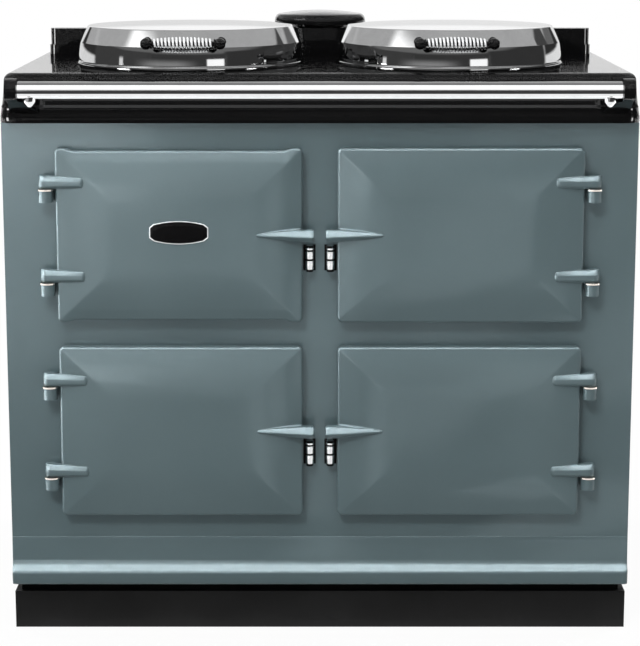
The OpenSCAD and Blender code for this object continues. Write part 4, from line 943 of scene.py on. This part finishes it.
def add_spots(t, axes, level, spots):
    """Adds spots to a level: (first range, second range, softness, strength)."""
    for first, second, soft, strength in spots:
        level = maths(t, "ADD", level, maths(t, "MULTIPLY", spot(t, axes, first, second, soft), strength))
    return level


def curve(t, value, stops):
    """Straight lines through (input, output) points, level beyond both ends."""
    low, high = stops[0][0], stops[-1][0]
    top = max(y for _, y in stops)
    scaled = map_range(t, value, 0.0, 1.0, low, high)
    shade = ramp(t, scaled, [((x - low) / (high - low), (y / top,) * 3) for x, y in stops])
    return maths(t, "MULTIPLY", shade, top)


def directions(t):
    """Turn (0 in front, positive to the right) and rise, in degrees, seen from the object's own origin."""
    unit = add_node(t, "VectorMath", {0: object_coords(t)}, operation="NORMALIZE")
    x, y, z = add_node(t, "SeparateXYZ", {0: unit.outputs[0]}).outputs
    turn = maths(t, "DEGREES", maths(t, "ARCTAN2", x, maths(t, "MULTIPLY", y, -1.0)))
    return turn, maths(t, "DEGREES", maths(t, "ARCSINE", z))


def background_ray(t):
    """1 for rays from the camera and for reflected and transmitted ones, which see the pale background."""
    path = add_node(t, "LightPath")
    seen = maths(t, "MAXIMUM", path.outputs["Is Camera Ray"], path.outputs["Is Glossy Ray"])
    return maths(t, "MAXIMUM", seen, path.outputs["Is Transmission Ray"])


def only_glossy(obj):
    """Leaves an object to be seen in reflections alone."""
    obj.visible_camera = False
    obj.visible_diffuse = False
    obj.visible_shadow = False
    obj.visible_transmission = False
    obj.visible_volume_scatter = False


def only_for(obj, group, members):
    """Links a reflected light to a group of objects alone."""
    found = bpy.data.collections.get(group)
    if not found:
        found = bpy.data.collections.new(group)
        for member in members:
            found.objects.link(member)
    only_glossy(obj)
    obj.light_linking.receiver_collection = found


def plane(name, half, near, far, material):
    """A rectangle from one (y, z) end to the other, and from -half to half in x, in metres."""
    mesh = bpy.data.meshes.new(name)
    mesh.from_pydata([(-half, *near), (half, *near), (half, *far), (-half, *far)], [], [[0, 1, 2, 3]])
    mesh.materials.append(material)
    obj = new_object(name, mesh)
    return obj


def ball(name, centre, radius, material):
    mesh = bpy.data.meshes.new(name)
    bm = bmesh.new()
    bmesh.ops.create_uvsphere(bm, u_segments=96, v_segments=48, radius=radius)
    bm.to_mesh(mesh)
    bm.free()
    mesh.materials.append(material)
    obj = new_object(name, mesh)
    obj.location = centre
    return obj


def make_floor():
    """A pale floor that keeps the shadow, and turns to plain white away from the object."""
    near_white = 0.94
    m, t = blank_material("floor")
    away = add_node(t, "VectorMath", {0: object_coords(t)}, operation="LENGTH").outputs["Value"]
    far = maths(t, "MULTIPLY", ramp_up(t, away, 0.6, 3.0), 1 - near_white)
    white = maths(t, "MULTIPLY", background_ray(t), maths(t, "ADD", far, near_white))
    diffuse = add_node(t, "BsdfDiffuse", {"Color": (0.8, 0.8, 0.8, 1)})
    inputs = {"Fac": white, 1: diffuse.outputs[0], 2: add_node(t, "Emission").outputs[0]}
    surface(t, add_node(t, "MixShader", inputs))
    plane("floor", 40, (-40, 0), (40, 0), m)


def make_flag():
    """A dark cloth on the floor in front, which only shows in reflections."""
    m, t = blank_material("floor_flag")
    x, y, _ = add_node(t, "SeparateXYZ", {0: object_coords(t)}).outputs
    level = paint(t, (x, y), 0.05, [((-12, -1.6), (-12, -1.2), (1.6, 1.5), 0.4)])
    surface(t, add_node(t, "Emission", {"Strength": level}))
    only_glossy(plane("floor_flag", 11, (-11, 0.003), (-0.31, 0.003), m))


BEYOND = 400  # degrees: past any turn or rise, so that a range has no edge there


def make_dome():
    """The studio as glossy surfaces see it: pale walls, a grey ceiling, dark curtains and a softbox."""
    m, t = blank_material("studio_dome")
    patches = [
        ((-BEYOND, BEYOND), (17, 100), (1, 14), 0.42),
        ((-BEYOND, BEYOND), (66, 100), (1, 12), 0.24),
        ((-BEYOND, -60), (-90, 6), (60, 2), 0.75),
        ((60, BEYOND), (-90, 6), (60, 2), 0.80),
        ((-95, 152), (9.5, 20), (6, 3), 0.14),
        ((-152, -95), (9.5, 20), (6, 3), 0.42),
        ((-152, -40), (2, 12), (6, 2), 0.03),
        ((-112, -38), (-22, 12), (6, 3), 0.05),
        ((38, 112), (-22, 14), (6, 3), 0.035),
        ((112, 152), (2, 12), (6, 2), 0.03),
        ((-41, 41), (-12, 12), (6, 3), 0.04),
        ((-45, 0), (-9, 3), (30, 8), 0.25),
        ((-77, -44), (24, 45), (14, 10), 1.6),
        ((109, 126), (10, 27), (2, 2), 0.06),
    ]
    # A reflection of a reflection sees a dimmer studio.
    again = maths(t, "GREATER_THAN", add_node(t, "LightPath").outputs["Glossy Depth"], 1.5)
    fade = maths(t, "SUBTRACT", 1.0, maths(t, "MULTIPLY", again, 0.88))
    strength = maths(t, "MULTIPLY", paint(t, directions(t), 1.0, patches), fade)
    surface(t, add_node(t, "Emission", {"Strength": strength}))
    only_glossy(ball("studio_dome", (0, -0.3, 0.85), 12.0, m))


WHITE = (1.0, 1.0, 1.0, 1.0)


def added_light(name, strength=None, colour=WHITE):
    """A material that adds its glow to whatever lies behind it. The strength is a function of turn and rise."""
    m, t = blank_material(name)
    level = strength(t, *directions(t)) if strength else 1.0
    glow = add_node(t, "Emission", {"Strength": level, "Color": colour})
    clear = add_node(t, "BsdfTransparent")
    surface(t, add_node(t, "AddShader", {0: glow.outputs[0], 1: clear.outputs[0]}))
    return m


def make_glow(name, strength, members, radius, lift, colour=WHITE):
    """A sphere and a floor sheet that add a painted reflection to a group of objects. No two of them touch,
    because each has its own radius and lift."""
    material, centre, half = added_light(name, strength, colour), (0.0, -0.3, 0.6), 10.8
    only_for(ball(f"{name}_sphere", centre, radius, material), f"{name}_group", members)
    z = lift - centre[2]
    sheet = plane(f"{name}_sheet", half, (-half, z), (half, z), material)
    sheet.location = centre
    only_for(sheet, f"{name}_group", members)


def pieces(form, names):
    """The scene's pieces of one form, such as the casting of each door."""
    return [bpy.data.objects[form.format(name)] for name in names]


def enamel_strength(t, turn, rise):
    """The painted reflection on the door castings, moulding and front plate alone: a broad window to the front left
    that shades the doors, and lights above and to the left.
    """
    lift = curve(t, rise, [(-34, 0.0), (-26, 0.1), (-20, 0.3), (-16, 0.5), (-14, 0.85), (-8, 1.35), (-4, 1.55),
                           (0, 1.75), (4, 1.9), (12, 1.75), (25, 2.6), (45, 5.0), (60, 8.5), (90, 9.0)])
    # The painted window's sides lean outwards as they rise.
    slant = maths(t, "SUBTRACT", turn, maths(t, "MULTIPLY", maths(t, "ADD", rise, 8.0), 0.4))
    side = curve(t, slant, [(-180, 0.5), (-140, 1.0), (-100, 1.5), (-40, 1.1), (-27, 0.95), (-20, 1.32),
                            (-16, 1.3), (-11, 0.92), (-8, 0.58), (-3, 0.3), (3, 0.22), (8, 0.14), (12, 0.08),
                            (18, 0.04), (40, 0.04), (60, 0.3), (120, 0.3), (180, 0.5)])
    overhead = {"Factor": ramp_up(t, rise, 25, 50), "A": side, "B": 1.0}
    level = maths(t, "MULTIPLY", lift, add_node(t, "Mix", overhead).outputs["Result"])
    return add_spots(t, (turn, rise), level, [
        ((-114, -58), (-24, BEYOND), (16, 12), 5.0),
        ((-5, 5), (-44, -8), (8, 8), 0.7),
        ((6, 13), (-26, 4), (4, 8), 0.6),
        ((16, 29), (-19, -10), (6, 4), 0.6),
        ((30, 46), (-50, -30), (6, 5), 0.6),
        ((-14, -7), (-6, 2), (4, 4), 1.7),
    ])


def metal_strength(t, turn, rise):
    """A painted reflection of bright surroundings, on the small turned metal pieces alone."""
    return curve(t, turn, [(-180, 0.8), (-60, 1.0), (-5, 0.9), (5, 0.75), (15, 0.9), (180, 0.9)])


def lid_strength(t, turn, rise):
    """Painted reflections of a window low in front and a narrow light to the left, on the lids alone."""
    return add_spots(t, (turn, rise), 0.0, [((19, 37), (-8, 7), (2, 2), 1.1),
                                            ((-75, -70.5), (-12, 6), (1.5, 4), 0.7)])


def edge_strength(t, turn, rise):
    """Painted highlights of narrow lights to both sides, on the rounded edges of the black enamel alone."""
    return add_spots(t, (turn, rise), 0.0, [((-76, -62), (-9, 5), (3, 3), 13.0),
                                            ((62, 72), (-9, 5), (3, 3), 9.0)])


def liner_strength(t, turn, rise):
    """A painted reflection of pale surroundings, on the sheet liners of the doors and lids alone."""
    return curve(t, rise, [(-90, 0.55), (0, 0.4), (40, 0.15), (90, 0.1)])


def make_glows():
    """The painted reflections and highlights, each linked to a group of objects alone."""
    castings = pieces("{}_door_casting", DOOR_NAMES) + [bpy.data.objects["base_moulding_casting"]]
    turned = pieces("{}_roller_rings", DOOR_NAMES) + pieces("{}_lid_spring", LID_NAMES)
    edges = [bpy.data.objects["top_plate_enamel"], NODES["rear_upstand"], NODES["rail_brackets"]]
    liners = [NODES[f"{n}_door_liner"] for n in DOOR_NAMES] + [NODES[f"{n}_lid_liner"] for n in LID_NAMES]
    make_glow("enamel_glow", enamel_strength, castings + [NODES["front_plate"]], radius=11.5, lift=0.005,
              colour=(0.84, 1.0, 1.06, 1.0))
    make_glow("metal_glow", metal_strength, turned + [NODES["hinge_washers"], bpy.data.objects["badge_rim"]],
              radius=11.3, lift=0.007)
    make_glow("lid_glow", lid_strength, pieces("{}_lid_skin", LID_NAMES), radius=11.2, lift=0.011)
    make_glow("edge_glow", edge_strength, edges, radius=11.0, lift=0.013)
    make_glow("liner_glow", liner_strength, liners, radius=11.1, lift=0.009)


def make_rail_cards():
    """Long strips beside the handrail, which add light to its reflection alone."""
    m = added_light("rail_strip")
    y, z = (FACE_Y + RAIL_Y) * 0.001, RAIL_Z * 0.001
    for part, low, high, away, half in (("upper", 3, 70, 0.3, 1.2), ("lower", -92, -42, 0.045, 0.55),
                                        ("under", -134, -92, 0.045, 0.55), ("back", -172, -134, 0.045, 0.55)):
        near, far = [(y - away * math.cos(math.radians(a)), z + away * math.sin(math.radians(a)))
                     for a in (low, high)]
        only_for(plane(f"rail_strip_{part}", half, near, far, m), "rail_only", [bpy.data.objects["handrail_chrome"]])


def lamp(name, location, target, watts, width, depth):
    """An area lamp that lights surfaces and doesn't show in reflections."""
    data = bpy.data.lights.new(name, "AREA")
    data.energy = watts
    data.shape = "RECTANGLE"
    data.size, data.size_y = width, depth
    obj = new_object(name, data)
    obj.location = location
    obj.rotation_euler = (Vector(target) - Vector(location)).to_track_quat("-Z", "Y").to_euler()
    obj.visible_glossy = False


def make_world():
    """A soft white light, and a white background where it is seen."""
    world = bpy.data.worlds.new("studio")
    bpy.context.scene.world = world
    world.use_nodes = True
    t = world.node_tree
    t.nodes.clear()
    soft = add_node(t, "Background", {"Strength": 0.36, "Color": WHITE})
    seen = add_node(t, "Background", {"Color": WHITE})
    mix = add_node(t, "MixShader", {"Fac": background_ray(t), 1: soft.outputs[0], 2: seen.outputs[0]})
    add_node(t, "OutputWorld", {"Surface": mix.outputs[0]})


def make_camera():
    """The photograph's viewing angle: the focal length and the image's longer side are in pixels."""
    focal, image, sensor, look_down = 2088.0, 646.0, 36.0, 10.58
    data = bpy.data.cameras.new("camera")
    data.lens = focal / image * sensor
    data.shift_y = -0.03
    data.clip_end = 100.0
    obj = new_object("camera", data)
    obj.location = (0.0, (-3208.0 + FACE_Y) * 0.001, 1.129)
    obj.rotation_euler = (math.radians(90 - look_down), 0, 0)
    bpy.context.scene.camera = obj


make_floor()
make_flag()
make_dome()
make_glows()
make_rail_cards()
make_world()
lamp("key", (-1.7, -4.98, 4.68), (0.0, -0.3, 0.5), 192, 1.55, 1.2)
lamp("top", (-0.3, -2.6, 5.6), (0.0, -0.2, 0.6), 108, 3.6, 1.8)
lamp("rear_left", (-3.2, 2.3, 2.4), (0.0, 0.0, 0.5), 90, 1.5, 1.5)
lamp("rear_right", (3.2, 2.3, 2.4), (0.0, 0.0, 0.5), 120, 1.5, 1.5)
make_camera()
bpy.context.scene.view_settings.view_transform = "Standard"
